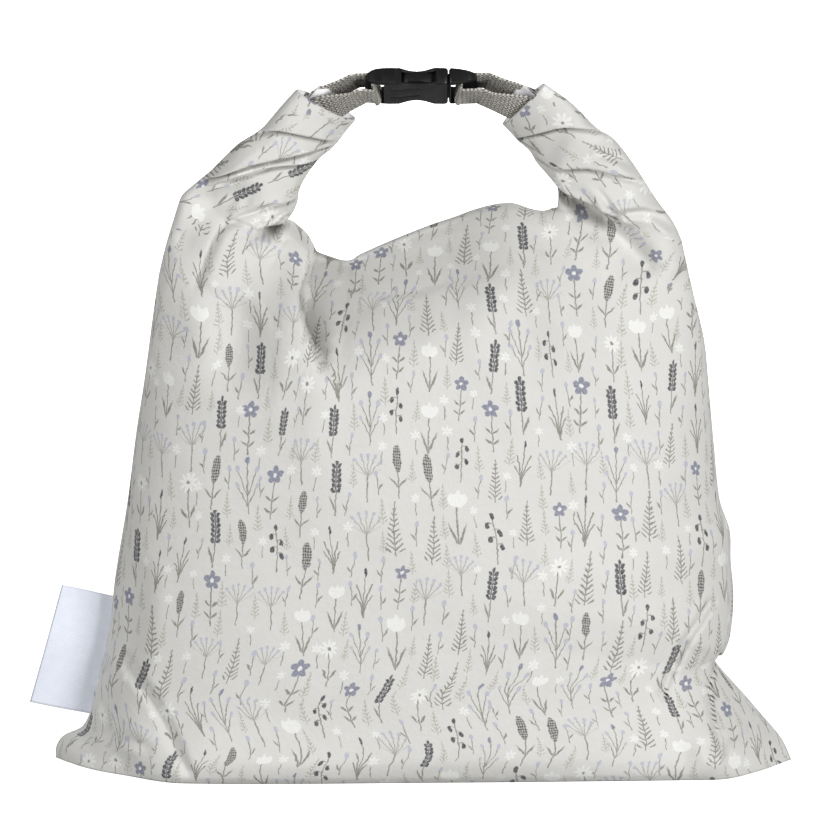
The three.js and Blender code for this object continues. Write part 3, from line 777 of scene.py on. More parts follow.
def back_roll(plan, lines):
    """Height of the roll on the back: lips above its lower edge and above two laps, which fade upwards."""
    drop = nearest(plan["x"], plan["z"], lines["ridge"])["distance"]
    height = np.zeros_like(drop)
    for r in rows_of(BACK_ROLL):
        above = r["drop"] - drop
        height += r["lip"] * step(above, BACK_SOFT) * np.exp(-np.maximum(above, 0) / r["reach"])
    return height * within(*BACK_RANGE, plan["u"])


def cloth_patches():
    """Front and back of the body and the two arms.

    The half depths stand to the front and the back of the leaning outline plane. Laps, the pleat, creases
    and slack are added where the cloth is thick enough to carry them.
    """
    lines = edge_lines()
    shoulder = crowded(SHOULDER_COLUMNS, SHOULDER_EVEN)
    plans = {
        "body": body_plan(),
        "left": arm_plan(LEFT_ARM, shoulder),
        "right": arm_plan(RIGHT_ARM, shoulder[::-1]),
    }
    parts = {}
    for name, plan in plans.items():
        x, z = plan["x"], plan["z"]
        if name == "body":
            half, belly, lean = body_bulge(plan, lines)
            back = back_roll(plan, lines)
        else:
            half, belly, lean = arm_bulge(plan, lines, name), 1, plan["lean"]
            back = BACK_LAPS["share"] * lap_shape(x, z - BACK_LAPS["lower"])[0]
        back = back + BACK_SLACK["share"] * slack(x + BACK_SLACK["x"], z + BACK_SLACK["z"])
        laps, lap_shift = lap_shape(x, z)
        pleat, pleat_shift = pleat_shape(x, z)
        front = laps + pleat + crease_height(x, z) + slack(x, z)
        carries = np.clip(half / FOLD_DEPTH, 0, 1) * smooth(*FOLD_FOOT, z)
        front = np.maximum(front * carries, -MOST_SINK["front"] * half)
        back = np.maximum(back * carries, -MOST_SINK["back"] * half)
        shift = (lap_shift + pleat_shift) * carries[..., None]
        over_x, over_z = x + shift[..., 0], z + shift[..., 1]
        front_y, back_y = lean - half * belly, lean + half
        parts[name] = {
            "x": x,
            "z": z,
            "front unfolded": np.stack([x, front_y, z], 2),
            "back unfolded": np.stack([x, back_y, z], 2),
            "front": np.stack([over_x, front_y - front, over_z], 2) * MM,
            "back": np.stack([x, back_y + back, z], 2) * MM,
        }
    close_edges(parts)
    close_roots(parts)
    return parts


def cloth_print(parts, face):
    """Print coordinates in millimetres for each quad's corners.

    On the body and on the foot of an arm they are lengths over the cloth without its folds. On a layer of
    the roll they are turned and shifted as a whole, so that the print is cut off at the lap. Beside the
    pleat some cloth is tucked away.
    """
    body = parts["body"][face + " unfolded"]
    across = run_length(body, 1)
    across = across - across[:, [body.shape[1] // 2]]
    up = run_length(body, 0)
    flat = {"body": (across - tucked_away(parts["body"]["x"], parts["body"]["z"]), up)}
    for name, columns in ROOTS.items():
        x, z = parts[name]["x"], parts[name]["z"]
        flat[name] = (across[-1, columns] + x - x[0], up[-1, columns] + z - z[0])
    prints = {}
    for name, part in parts.items():
        mirror = -1 if name == "right" else 1
        x, z = corners(part["x"]), corners(part["z"])
        layer = lap_count(x.mean(2), z.mean(2))[..., None]
        turned = print_of_layer(layer, x, z, mirror)
        ways = [np.where(layer == 0, corners(flat[name][i]), turned[i]) for i in (0, 1)]
        prints[name] = np.stack(ways, 3)
    return prints


def tucked_away(x, z):
    """Cloth hidden under the pleat: most at the pleat's upper end, less with distance to its right."""
    near = nearest(x, z, line_through(PLEAT["line"]))
    return np.where(near["side"] < 0, TUCK * near["share"] * np.exp(-near["distance"] / TUCK_REACH), 0)


def corners(grid):
    """The four corners of each quad of a grid."""
    return np.stack([grid[:-1, :-1], grid[:-1, 1:], grid[1:, 1:], grid[1:, :-1]], 2)


def grid_faces(rows, columns, start, flip):
    """Quads of a grid of points that starts at an index, turned the other way round where flip is set."""
    index = start + np.arange(rows * columns).reshape(rows, columns)
    quads = corners(index).reshape(-1, 4)
    return quads[:, ::-1] if flip else quads


class Skin:
    """Grids gathered into one mesh: points, quads, print coordinates and material numbers."""

    def __init__(self):
        self.points = []
        self.prints = []
        self.faces = []
        self.materials = []
        self.count = 0

    def add(self, points, prints, flip, material=0):
        """Takes a grid in. Its print coordinates are a grid too, or a set of four for each quad."""
        rows, columns = points.shape[:2]
        faces = grid_faces(rows, columns, self.count, flip)
        if prints.ndim == points.ndim:
            prints = corners(prints)
        prints = prints.reshape(-1, 4, 2)
        self.points.append(points.reshape(-1, 3))
        self.prints.append(prints[:, ::-1] if flip else prints)
        self.faces.append(faces)
        self.materials.append(np.full(len(faces), material))
        self.count += rows * columns

    def close_rows(self, points, prints, flip):
        """Closes a tube or fold at its first and last row: one half of the row is joined to the other."""
        half = points.shape[1] // 2
        for row, turned in ((0, flip), (-1, not flip)):
            ends = [np.stack([grid[row][half::-1], grid[row][half:]]) for grid in (points, prints)]
            self.add(ends[0], ends[1], turned)

    def piece(self, name, materials):
        """The mesh object, its grids welded where their edges meet and its faces shaded smooth."""
        points = np.concatenate(self.points)
        faces = np.concatenate(self.faces)
        mesh = bpy.data.meshes.new(name)
        mesh.from_pydata(points.tolist(), [], faces.tolist())
        layer = mesh.uv_layers.new(name="print_mm")
        layer.data.foreach_set("uv", np.concatenate(self.prints).astype(np.float32).ravel())
        mesh.polygons.foreach_set("material_index", np.concatenate(self.materials).astype(np.int32))
        work = bmesh.new()
        work.from_mesh(mesh)
        bmesh.ops.remove_doubles(work, verts=work.verts, dist=WELD)
        bmesh.ops.dissolve_degenerate(work, edges=work.edges, dist=LEAST_EDGE)
        work.to_mesh(mesh)
        work.free()
        mesh.shade_smooth()
        piece = bpy.data.objects.new(name, mesh)
        bpy.context.scene.collection.objects.link(piece)
        for material in materials:
            mesh.materials.append(material)
        return piece


def pocket_grid(part, face_sign):
    """The turned-in edge at an arm's end: the end's edge drawn in towards its middle and into the arm."""
    front = part["front"][-1]
    back = part["back"][-1]
    ring = front if face_sign < 0 else back
    middle = (front + back) / 2
    centre = middle.mean(0)
    into = (part["front"][-POCKET_BACK] + part["back"][-POCKET_BACK] - front - back).mean(0)
    into = into / np.linalg.norm(into)
    rows = []
    for r in rows_of(POCKET):
        line = centre + (middle - centre) * r["long"] + (ring - middle) * r["short"]
        rows.append(line + into * r["depth"] * MM)
    rows.append(centre + (middle - centre) * POCKET["long"][-1] + into * POCKET["depth"][-1] * MM)
    return np.stack(rows)


def make_cloth(printed, lining):
    """The bag's cloth as one closed skin: body, arms, base, and the turned-in ends of the roll."""
    parts = cloth_patches()
    skin = Skin()
    for face in ("front", "back"):
        prints = cloth_print(parts, face)
        if face == "back":
            prints = {name: p + np.array(BACK_PRINT_SHIFT) for name, p in prints.items()}
        for name, part in parts.items():
            skin.add(part[face], prints[name], face == "back")
    share = np.linspace(0, 1, BASE_ROWS + 1)[:, None, None]
    low_front = parts["body"]["front"][0][None]
    low_back = parts["body"]["back"][0][None]
    base = low_front + (low_back - low_front) * share
    skin.add(base, base[..., :2] / MM, True)
    for name in ("left", "right"):
        for sign in (-1, 1):
            grid = pocket_grid(parts[name], sign)
            rows = (grid[:POCKET_PRINTED], grid[POCKET_PRINTED - 1 :])
            for material, points in enumerate(rows):
                skin.add(points, points[..., [0, 2]] / MM, sign > 0, material)
    return skin.piece("bag_cloth", [printed, lining])


# Materials

def linear(code):
    """A hex colour as the linear values that a shader takes."""
    value = np.array([int(code[i : i + 2], 16) for i in (1, 3, 5)]) / 255
    light = np.where(value <= 0.04045, value / 12.92, ((value + 0.055) / 1.055) ** 2.4)
    return (*light.tolist(), 1.0)


def node(tree, kind, values=None, **settings):
    """Adds a node with its settings; values go to its inputs by index or name, as links or as constants."""
    made = tree.nodes.new(kind)
    for name, value in settings.items():
        setattr(made, name, value)
    for key, value in (values or {}).items():
        if isinstance(value, Field):
            value = value.socket
        if isinstance(value, bpy.types.NodeSocket):
            tree.links.new(value, made.inputs[key])
        else:
            made.inputs[key].default_value = value
    return made


# Soft edge of the print's shapes, in millimetres
PRINT_EDGE = 0.16


class Field:
    """A number that varies over a surface. Arithmetic on it adds Math nodes."""

    def __init__(self, tree, socket):
        self.tree = tree
        self.socket = socket

    def math(self, operation, *others, clamp=False):
        values = dict(enumerate((self, *others)))
        made = node(self.tree, "ShaderNodeMath", values, operation=operation, use_clamp=clamp)
        return Field(self.tree, made.outputs[0])

    def __add__(self, other):
        return self.math("ADD", other)

    def __sub__(self, other):
        return self.math("SUBTRACT", other)

    def __mul__(self, other):
        return self.math("MULTIPLY", other)

    def __truediv__(self, other):
        return self.math("DIVIDE", other)

    def size(self):
        return self.math("ABSOLUTE")

    def most(self, other):
        return self.math("MAXIMUM", other)

    def inside(self, edge=PRINT_EDGE):
        """1 where the number is below 0, 0 where it is above, soft over a thin edge."""
        return self.math("MULTIPLY_ADD", -0.5 / edge, 0.5, clamp=True)

    def band(self, low, high):
        """1 between two values."""
        return ((self - (low + high) / 2).size() - (high - low) / 2).inside()


class Spot:
    """A place on the cloth with its own x and y in millimetres, in which a plant's parts are drawn."""

    def __init__(self, x, y):
        self.tree = x.tree
        self.x = x
        self.y = y
        joined = node(self.tree, "ShaderNodeCombineXYZ", {0: x, 1: y})
        self.vector = joined.outputs[0]

    def oval(self, x, y, wide, high, turn=0.0):
        """An oval leaf, petal or bud at a place, turned by an angle in degrees."""
        place = self.vector
        if turn:
            values = {"Vector": place, "Center": (x, y, 0), "Angle": -math.radians(turn)}
            place = node(self.tree, "ShaderNodeVectorRotate", values, rotation_type="Z_AXIS").outputs[0]
        values = {0: place, 1: (1 / wide, 1 / high, 0), 2: (-x / wide, -y / high, 0)}
        scaled = node(self.tree, "ShaderNodeVectorMath", values, operation="MULTIPLY_ADD")
        length = node(self.tree, "ShaderNodeVectorMath", {0: scaled.outputs[0]}, operation="LENGTH")
        return (Field(self.tree, length.outputs["Value"]) - 1).inside(PRINT_EDGE / min(wide, high))

    def stem(self, low, high, bend=0.0, slope=0.0, width=0.3):
        """A thin line from low to high that leans by slope and bends away from its foot."""
        rise = self.y - low
        off = self.x - rise * slope
        if bend:
            off = off - rise * rise * bend
        return (off.size() - width).inside() * self.y.band(low, high)

    def mirrored(self):
        """The same spot with its left half folded over its right one."""
        return Spot(self.x.size(), self.y)

    def repeated(self, pitch):
        """The same spot repeated upwards."""
        return Spot(self.x, self.y.math("FLOORED_MODULO", pitch))

    def around(self, x, y, count):
        """A flower head: x runs out along the nearest of its petals, y away from that petal's middle."""
        dx = self.x - x
        dy = self.y - y
        radius = (dx * dx + dy * dy).math("SQRT")
        angle = dx.math("ARCTAN2", dy).math("PINGPONG", math.pi / count)
        return Spot(radius * angle.math("COSINE"), radius * angle.math("SINE"))


class Inks:
    """The print's colours, each with the share of it at a place."""

    def __init__(self):
        self.shares = {}

    def lay(self, ink, share):
        """Adds a share of an ink; where it lies twice, the stronger share counts."""
        self.shares[ink] = self.shares[ink].most(share) if ink in self.shares else share

    def join(self, others, where):
        """Takes another set of inks in, where a number is 1."""
        for ink, share in others.shares.items():
            self.lay(ink, share * where)


# Plants of the print, drawn in millimetres about the middle of their cell. An oval has its middle, two
# half sizes and a turn in degrees, a stem its foot and its top.
FOOT = -13
LOW_FOOT = -6


def daisy(spot, inks):
    head = spot.around(1.0, 7.5, 9)
    inks.lay("white", head.oval(2.9, 0, 2.0, 0.78))
    inks.lay("stem", head.oval(0, 0, 0.9, 0.9))
    inks.lay("stem", spot.stem(FOOT, 5.2, bend=0.003))
    leaves = spot.mirrored()
    inks.lay("stem", leaves.oval(2.2, -6.2, 2.7, 0.62, 58))


def wheat(spot, inks):
    grains = spot.mirrored().repeated(2.2)
    inks.lay("charcoal", grains.oval(1.3, 1.1, 0.8, 1.4, -26) * spot.y.band(-2.2, 11))
    inks.lay("charcoal", spot.oval(0, 11.6, 0.7, 1.4).most(spot.stem(-2, 11, width=0.3)))
    inks.lay("stem", spot.stem(FOOT, -2, width=0.28))
    inks.lay("stem", spot.oval(-1.5, -7.5, 0.5, 3.4, 22))


def fern(spot, inks):
    half = spot.mirrored()
    leaflet = (half.y - half.x * 0.85).math("PINGPONG", 1.25)
    taper = (half.x - (half.y - 12) * -0.19).inside(0.3)
    inks.lay("stem", (leaflet - 0.4).inside() * taper * spot.y.band(-11, 12))
    inks.lay("stem", spot.stem(FOOT, 11, width=0.26))


def bells(spot, inks):
    pair = spot.repeated(6.6)
    inside = spot.y.band(-6.6, 6.6)
    heads = pair.oval(2.5, 1.7, 1.1, 1.6, 12).most(pair.oval(-2.5, 4.9, 1.1, 1.6, -12))
    twigs = pair.oval(1.3, 3.4, 1.4, 0.24, 8).most(pair.oval(-1.3, 6.3, 1.4, 0.24, -8))
    inks.lay("charcoal", heads * inside)
    inks.lay("stem", twigs * inside)
    inks.lay("charcoal", spot.oval(0.6, 9.6, 1.0, 1.6))
    inks.lay("stem", spot.stem(FOOT, 8.4, bend=0.0012))


def umbel(spot, inks):
    fan = spot.around(0, -1.5, 18)
    upper = (spot.x.size() * 0.62 - (spot.y + 1.5)).inside(0.6)
    dots = fan.oval(9.6, 0, 0.95, 0.8).most(fan.oval(7.6, 0, 0.6, 0.55))
    inks.lay("lilac", dots * upper)
    inks.lay("stem", (fan.y - 0.15).inside() * fan.x.band(0, 9) * upper)
    inks.lay("stem", spot.stem(FOOT, -1.2))


def poppy(spot, inks):
    cup = spot.oval(0, 7.4, 4.0, 3.5)
    notch = spot.mirrored().oval(1.9, 11.2, 1.3, 2.0, -16)
    inks.lay("white", cup * (notch * -1 + 1))
    inks.lay("lilac", spot.mirrored().oval(0.9, 6.4, 0.22, 1.9, -14))
    inks.lay("stem", spot.stem(FOOT, 4.2, bend=-0.001))
    inks.lay("stem", spot.mirrored().oval(1.9, -7.6, 0.55, 4.6, -22))


def blossom(spot, inks):
    head = spot.around(0, 7.6, 5)
    inks.lay("slate", head.oval(2.2, 0, 1.9, 1.35))
    inks.lay("white", head.oval(0, 0, 0.95, 0.95))
    inks.lay("stem", spot.stem(FOOT, 5.6, bend=0.0008))
    twigs = spot.mirrored().repeated(5.2)
    inks.lay("stem", twigs.oval(1.7, 2.4, 0.5, 1.8, -48) * spot.y.band(-10.4, 0))


def sprig(spot, inks):
    fork = spot.mirrored()
    inks.lay("stem", fork.stem(-5, 5.4, slope=0.36, width=0.24))
    inks.lay("stem", fork.stem(-9, -1.4, slope=0.5, width=0.24))
    inks.lay("stem", spot.stem(FOOT, 9, width=0.26))
    inks.lay("lilac", fork.oval(4.2, 6.6, 0.95, 1.55, -20).most(fork.oval(4.4, -0.2, 0.8, 1.3, -26)))
    inks.lay("slate", spot.oval(0, 10.4, 1.0, 1.7))


def teasel(spot, inks):
    body = spot.oval(0, 6.0, 2.1, 6.2)
    grains = (spot.x * 3.1 + spot.y * 2.4).math("SINE") * (spot.x * 3.1 - spot.y * 2.4).math("SINE")
    inks.lay("charcoal", body * (grains * -1 + 0.06).inside(0.2))
    inks.lay("stem", body * 0.6)
    inks.lay("stem", spot.stem(FOOT, 1))
    inks.lay("stem", spot.mirrored().oval(2.0, -5.2, 0.42, 3.0, -40))


def grass(spot, inks):
    tuft = spot.mirrored()
    inks.lay("stem", tuft.stem(FOOT, 3, bend=0.014, width=0.34))
    inks.lay("stem", tuft.stem(FOOT, -2, bend=0.034, width=0.34))
    inks.lay("stem", spot.stem(FOOT, 8, width=0.26))
    inks.lay("charcoal", spot.oval(0, 8.6, 0.62, 1.9))


def bud(spot, inks):
    inks.lay("stem", spot.stem(LOW_FOOT, 3, bend=0.01, width=0.22))
    inks.lay("lilac", spot.oval(0.8, 4.0, 0.95, 1.5))
    inks.lay("stem", spot.oval(-1.1, -2, 0.4, 1.7, 34))


def star(spot, inks):
    head = spot.around(0, 2.6, 6)
    inks.lay("white", head.oval(1.35, 0, 1.1, 0.5))
    inks.lay("stem", spot.stem(LOW_FOOT, 1.4, width=0.22))


def leaf_twig(spot, inks):
    half = spot.mirrored()
    leaflet = (half.y - half.x * 0.9).math("PINGPONG", 0.95)
    taper = (half.x - (half.y - 6) * -0.22).inside(0.25)
    inks.lay("pale", (leaflet - 0.32).inside() * taper * spot.y.band(-5, 6))
    inks.lay("pale", spot.stem(-6.5, 5.4, width=0.2))


# Inks of the print, in the order in which they are laid
INKS = {
    "pale": "#aeaca0",
    "stem": "#827f75",
    "lilac": "#b7b9c6",
    "slate": "#7f8296",
    "charcoal": "#3a3b42",
    "white": "#ebebe8",
}

# Fields of plants: the width and height of a plant's cell, where the columns start, the seed of the hash
# and which plants grow there
TALL_PLANTS = (daisy, wheat, fern, bells, umbel, poppy, blossom, sprig, grass, teasel)
LOW_PLANTS = (bud, leaf_twig, star, leaf_twig, bud)
PLANTINGS = (
    {"wide": 14.0, "high": 25.5, "start": 0.0, "seed": 3.0, "plants": TALL_PLANTS},
    {"wide": 14.0, "high": 13.0, "start": 7.0, "seed": 11.0, "plants": LOW_PLANTS},
)

# How far a plant moves up and aside in its cell, its lean, its least growth and how much more it may be,
# and the factors that draw more chances from the hash
CHANCE = {"up": 2.0, "aside": 3.0, "lean": 0.26, "least": 0.8, "more": 0.26}
DRAW = {"aside": 5.0, "mirror": 7.0, "growth": 13.0}


def plant_field(tree, across, up, planting, inks):
    """Fills the cloth with staggered columns of cells, with one plant in each, picked and set by a hash."""
    wide = planting["wide"]
    high = planting["high"]
    column_at = (across - planting["start"]) / wide
    column = column_at.math("FLOOR")
    values = {"W": column + planting["seed"]}
    stagger = node(tree, "ShaderNodeTexWhiteNoise", values, noise_dimensions="1D")
    up_at = (up + Field(tree, stagger.outputs["Value"]) * high) / high
    row = up_at.math("FLOOR")
    cell = node(tree, "ShaderNodeCombineXYZ", {0: column, 1: row, 2: planting["seed"]})
    dice = node(tree, "ShaderNodeTexWhiteNoise", {"Vector": cell.outputs[0]}, noise_dimensions="3D")
    split = node(tree, "ShaderNodeSeparateColor", {0: dice.outputs["Color"]})
    chance, turn, shift = (Field(tree, split.outputs[i]) for i in range(3))
    y = (up_at - row - 0.5) * high + (shift - 0.5) * CHANCE["up"]
    aside = (shift * DRAW["aside"]).math("FRACT") - 0.5
    x = (column_at - column - 0.5) * wide + (turn - 0.5) * y * CHANCE["lean"] + aside * CHANCE["aside"]
    x = x * ((turn * DRAW["mirror"]).math("FRACT") - 0.5).math("SIGN")
    growth = (turn * DRAW["growth"]).math("FRACT") * CHANCE["more"] + CHANCE["least"]
    spot = Spot(x / growth, y / growth)
    pick = (chance * len(planting["plants"])).math("FLOOR")
    for number, plant in enumerate(planting["plants"]):
        drawn = Inks()
        plant(spot, drawn)
        inks.join(drawn, pick.math("COMPARE", number, 0.5))


def new_material(name):
    """A new material and its empty node tree."""
    material = bpy.data.materials.new(name)
    material.use_nodes = True
    material.node_tree.nodes.clear()
    return material, material.node_tree


def finished(material, values):
    """Ends a material with a shader that takes these values, as links or as constants."""
    tree = material.node_tree
    shader = node(tree, "ShaderNodeBsdfPrincipled", values)
    node(tree, "ShaderNodeOutputMaterial", {"Surface": shader.outputs[0]})
    return material


def printed_cotton():
    """Coated cotton: matt pale grey ground, printed wildflowers in greys and white, a faint plain weave.

    The weave's threads are drawn 0.9 mm apart, coarser than real ones, which would be too fine to show. The
    print's lines wander by up to 0.75 mm, as if drawn by hand, and its inks are patchy. A noise's scale is
    its cells for each millimetre of the print's own map.
    """
    thread = 0.9
    wander = 1.5
    material, tree = new_material("printed_cotton")
    place = node(tree, "ShaderNodeUVMap", uv_map="print_mm").outputs[0]
    split = node(tree, "ShaderNodeSeparateXYZ", {0: place})
    across, up = (Field(tree, split.outputs[i]) for i in (0, 1))
    wobble = node(tree, "ShaderNodeTexNoise", {"Vector": place, "Scale": 0.42, "Detail": 1.0})
    drawn = node(tree, "ShaderNodeSeparateColor", {0: wobble.outputs["Color"]})
    drawn_x, drawn_y = ((Field(tree, drawn.outputs[i]) - 0.5) * wander for i in (0, 1))
    inks = Inks()
    for planting in PLANTINGS:
        plant_field(tree, across + drawn_x, up + drawn_y, planting, inks)
    patchy = node(tree, "ShaderNodeTexNoise", {"Vector": place, "Scale": 1.1, "Detail": 2.0})
    strength = Field(tree, patchy.outputs[0]).math("MULTIPLY_ADD", 0.7, 0.52, clamp=True)
    mottle = node(tree, "ShaderNodeTexNoise", {"Vector": place, "Scale": 0.05, "Detail": 3.0})
    ground = {0: mottle.outputs[0], 6: linear("#d3d2ce"), 7: linear("#dbdad6")}
    colour = node(tree, "ShaderNodeMix", ground, data_type="RGBA").outputs[2]
    for ink, code in INKS.items():
        laid = {0: inks.shares[ink] * strength, 6: colour, 7: linear(code)}
        colour = node(tree, "ShaderNodeMix", laid, data_type="RGBA").outputs[2]
    pitch = 2 * math.pi / thread
    weave = (across * pitch).math("SINE") * (up * pitch).math("SINE")
    grain = node(tree, "ShaderNodeTexNoise", {"Vector": place, "Scale": 0.35, "Detail": 4.0})
    height = weave * 0.3 + Field(tree, grain.outputs[0]) * 2.0
    relief = node(tree, "ShaderNodeBump", {"Height": height, "Distance": 0.14 * MM})
    values = {"Base Color": colour, "Roughness": 0.82, "Normal": relief.outputs[0]}
    return finished(material, {**values, "Sheen Weight": 0.12, "Sheen Roughness": 0.5})


def white_lining():
    """White inner face of the cloth: soft matt white with a faint mottle."""
    material, tree = new_material("white_lining")
    place = node(tree, "ShaderNodeTexCoord").outputs["Object"]
    noise = node(tree, "ShaderNodeTexNoise", {"Vector": place, "Scale": 0.26 / MM, "Detail": 3.0}).outputs[0]
    whites = {0: noise, 6: linear("#e9e9ec"), 7: linear("#f8f8f8")}
    colour = node(tree, "ShaderNodeMix", whites, data_type="RGBA")
    relief = node(tree, "ShaderNodeBump", {"Height": noise, "Distance": 0.2 * MM})
    values = {"Base Color": colour.outputs[2], "Roughness": 0.75, "Normal": relief.outputs[0]}
    return finished(material, values)


def grey_webbing():
    """Grey polyester webbing: a herringbone of light and dark yarns in ribs, rough and matt.

    Its chains of stitches are drawn 2.4 mm wide, a little coarser than real ones, so that they show. Half a
    chain is a rib, and a yarn crosses it every 1.7 mm.
    """
    rib_wide = 1.2
    yarn_long = 1.7
    material, tree = new_material("grey_webbing")
    place = node(tree, "ShaderNodeUVMap", uv_map="print_mm").outputs[0]
    split = node(tree, "ShaderNodeSeparateXYZ", {0: place})
    across, along = (Field(tree, split.outputs[i]) for i in (0, 1))
    zigzag = across.math("PINGPONG", rib_wide)
    yarn = ((along + zigzag * 1.2) * (2 * math.pi / yarn_long)).math("SINE")
    rib = (across * (2 * math.pi / rib_wide)).math("COSINE")
    speck = node(tree, "ShaderNodeTexNoise", {"Vector": place, "Scale": 1.2, "Detail": 2.0})
    weave = yarn * 0.8 + rib * 0.5 + (Field(tree, speck.outputs[0]) - 0.5) * 2.2
    light = weave.math("MULTIPLY_ADD", 0.5, 0.5, clamp=True)
    yarns = {0: light, 6: linear("#6e6b65"), 7: linear("#ece8df")}
    colour = node(tree, "ShaderNodeMix", yarns, data_type="RGBA")
    relief = node(tree, "ShaderNodeBump", {"Height": weave, "Distance": 0.35 * MM})
    values = {"Base Color": colour.outputs[2], "Roughness": 0.9, "Normal": relief.outputs[0]}
    return finished(material, values)


def black_plastic():
    """Moulded acetal: near black with a satin gloss, finely textured, a little uneven in its shine."""
    material, tree = new_material("black_plastic")
    where = {"Vector": node(tree, "ShaderNodeTexCoord").outputs["Object"], "Detail": 2.0}
    fine = node(tree, "ShaderNodeTexNoise", {**where, "Scale": 1.5 / MM})
    broad = node(tree, "ShaderNodeTexNoise", {**where, "Scale": 0.12 / MM})
    uneven = Field(tree, broad.outputs[0])
    blacks = {0: uneven, 6: linear("#0b0b0c"), 7: linear("#141416")}
    colour = node(tree, "ShaderNodeMix", blacks, data_type="RGBA")
    relief = node(tree, "ShaderNodeBump", {"Height": fine.outputs[0], "Distance": 0.03 * MM})
    gloss = {"Roughness": uneven * 0.15 + 0.32, "Specular IOR Level": 0.45}
    return finished(material, {"Base Color": colour.outputs[2], "Normal": relief.outputs[0], **gloss})


def white_satin():
    """White satin ribbon: smooth, softly shiny, with a faint weave.

    Its threads are drawn 0.8 and 0.9 mm apart, coarser than real ones, which would be too fine to show.
    """
    rib_high = 0.8
    rib_wide = 0.9
    material, tree = new_material("white_satin")
    place = node(tree, "ShaderNodeUVMap", uv_map="print_mm").outputs[0]
    split = node(tree, "ShaderNodeSeparateXYZ", {0: place})
    across, up = (Field(tree, split.outputs[i]) for i in (0, 1))
    mottle = node(tree, "ShaderNodeTexNoise", {"Vector": place, "Scale": 0.2, "Detail": 3.0})
    whites = {0: mottle.outputs[0], 6: linear("#e0e6f4"), 7: linear("#edf1fb")}
    colour = node(tree, "ShaderNodeMix", whites, data_type="RGBA")
    ribs = (up * (2 * math.pi / rib_high)).math("SINE")
    ribs = ribs + (across * (2 * math.pi / rib_wide)).math("SINE") * 0.4
    relief = node(tree, "ShaderNodeBump", {"Height": ribs, "Distance": 0.02 * MM})
    values = {"Base Color": colour.outputs[2], "Roughness": 0.42, "Normal": relief.outputs[0]}
    return finished(material, {**values, "Sheen Weight": 0.1})


def studio_floor():
    """Plain pale floor: matt white with a barely visible mottle, glowing so that it shows evenly bright."""
    material, tree = new_material("studio_floor")
    place = node(tree, "ShaderNodeTexCoord").outputs["Object"]
    noise = node(tree, "ShaderNodeTexNoise", {"Vector": place, "Scale": 3.0})
    whites = {0: noise.outputs[0], 6: linear("#f4f4f4"), 7: linear("#f7f7f7")}
    colour = node(tree, "ShaderNodeMix", whites, data_type="RGBA")
    glow = {"Emission Color": (1, 1, 1, 1), "Emission Strength": 0.85}
    return finished(material, {"Base Color": colour.outputs[2], "Roughness": 0.9, **glow})


def make_camera():
    """Camera at the photograph's angle, its lens set by the width of the view at the bag."""
    lens = bpy.data.cameras.new("camera")
    lens.sensor_width = SENSOR
    lens.lens = SENSOR * CAMERA_DISTANCE / VIEW_WIDTH
    camera = bpy.data.objects.new("camera", lens)
    tilt = math.radians(CAMERA_ELEVATION)
    away = np.array([0, -math.cos(tilt), math.sin(tilt)]) * CAMERA_DISTANCE
    camera.location = (np.array(CAMERA_AIM) + away) * MM
    camera.rotation_euler = (math.pi / 2 - tilt, 0, 0)
    bpy.context.scene.collection.objects.link(camera)
    bpy.context.scene.camera = camera


def soft_light(name, place, aim, size, power):
    """A square soft box that looks at a point."""
    light = bpy.data.lights.new(name, "AREA")
    light.size = size
    light.energy = power
    lamp = bpy.data.objects.new(name, light)
    lamp.location = place
    lamp.rotation_euler = (Vector(aim) - Vector(place)).to_track_quat("-Z", "Y").to_euler()
    bpy.context.scene.collection.objects.link(lamp)


def make_studio():
    """Bright floor that doesn't light the bag or show in its gloss, an even surround and the soft boxes."""
    mesh = bpy.data.meshes.new("floor")
    square = [(FLOOR_REACH * x, FLOOR_REACH * y, 0) for x, y in ((-1, -1), (1, -1), (1, 1), (-1, 1))]
    mesh.from_pydata(square, [], [(0, 1, 2, 3)])
    mesh.materials.append(studio_floor())
    floor = bpy.data.objects.new("floor", mesh)
    bpy.context.scene.collection.objects.link(floor)
    floor.visible_diffuse = False
    floor.visible_glossy = False
    world = bpy.data.worlds.new("studio")
    world.use_nodes = True
    world.node_tree.nodes["Background"].inputs["Color"].default_value = (1, 1, 1, 1)
    world.node_tree.nodes["Background"].inputs["Strength"].default_value = SURROUND
    bpy.context.scene.world = world
    for light in SOFT_BOXES:
        soft_light(light["name"], light["place"], BAG_MIDDLE, light["size"], light["power"])
    bpy.context.scene.view_settings.view_transform = "Standard"


def frame_at(forward, wide):
    """Unit vectors along, across and out of a ribbon from its direction and its width's direction."""
    forward = forward / np.linalg.norm(forward, axis=-1, keepdims=True)
    wide = wide - forward * (wide * forward).sum(-1, keepdims=True)
    wide = wide / np.linalg.norm(wide, axis=-1, keepdims=True)
    return forward, wide, np.cross(forward, wide)


def on_buckle(x, z):
    """A point of the buckle's middle plane, from its place along the buckle and out of its face."""
    turn = math.radians(BUCKLE_TURN)
    out = np.array([0, -math.sin(turn), math.cos(turn)])
    return np.array(BUCKLE_AT) + np.array([1.0, 0, 0]) * x + out * z


def roll_end(arm):
    """Middle of an arm's end, the direction into the arm, and the slant from its inner to its outer edge."""
    inner, outer = (np.array([arm[edge + axis][-1] for axis in "xyz"]) for edge in "io")
    before = np.array([(arm["ix"][-2] + arm["ox"][-2]) / 2, 0, (arm["iz"][-2] + arm["oz"][-2]) / 2])
    middle = (inner + outer) / 2
    into = before - middle * np.array([1, 0, 1])
    slant = outer - inner
    return middle, into / np.linalg.norm(into), slant / np.linalg.norm(slant)


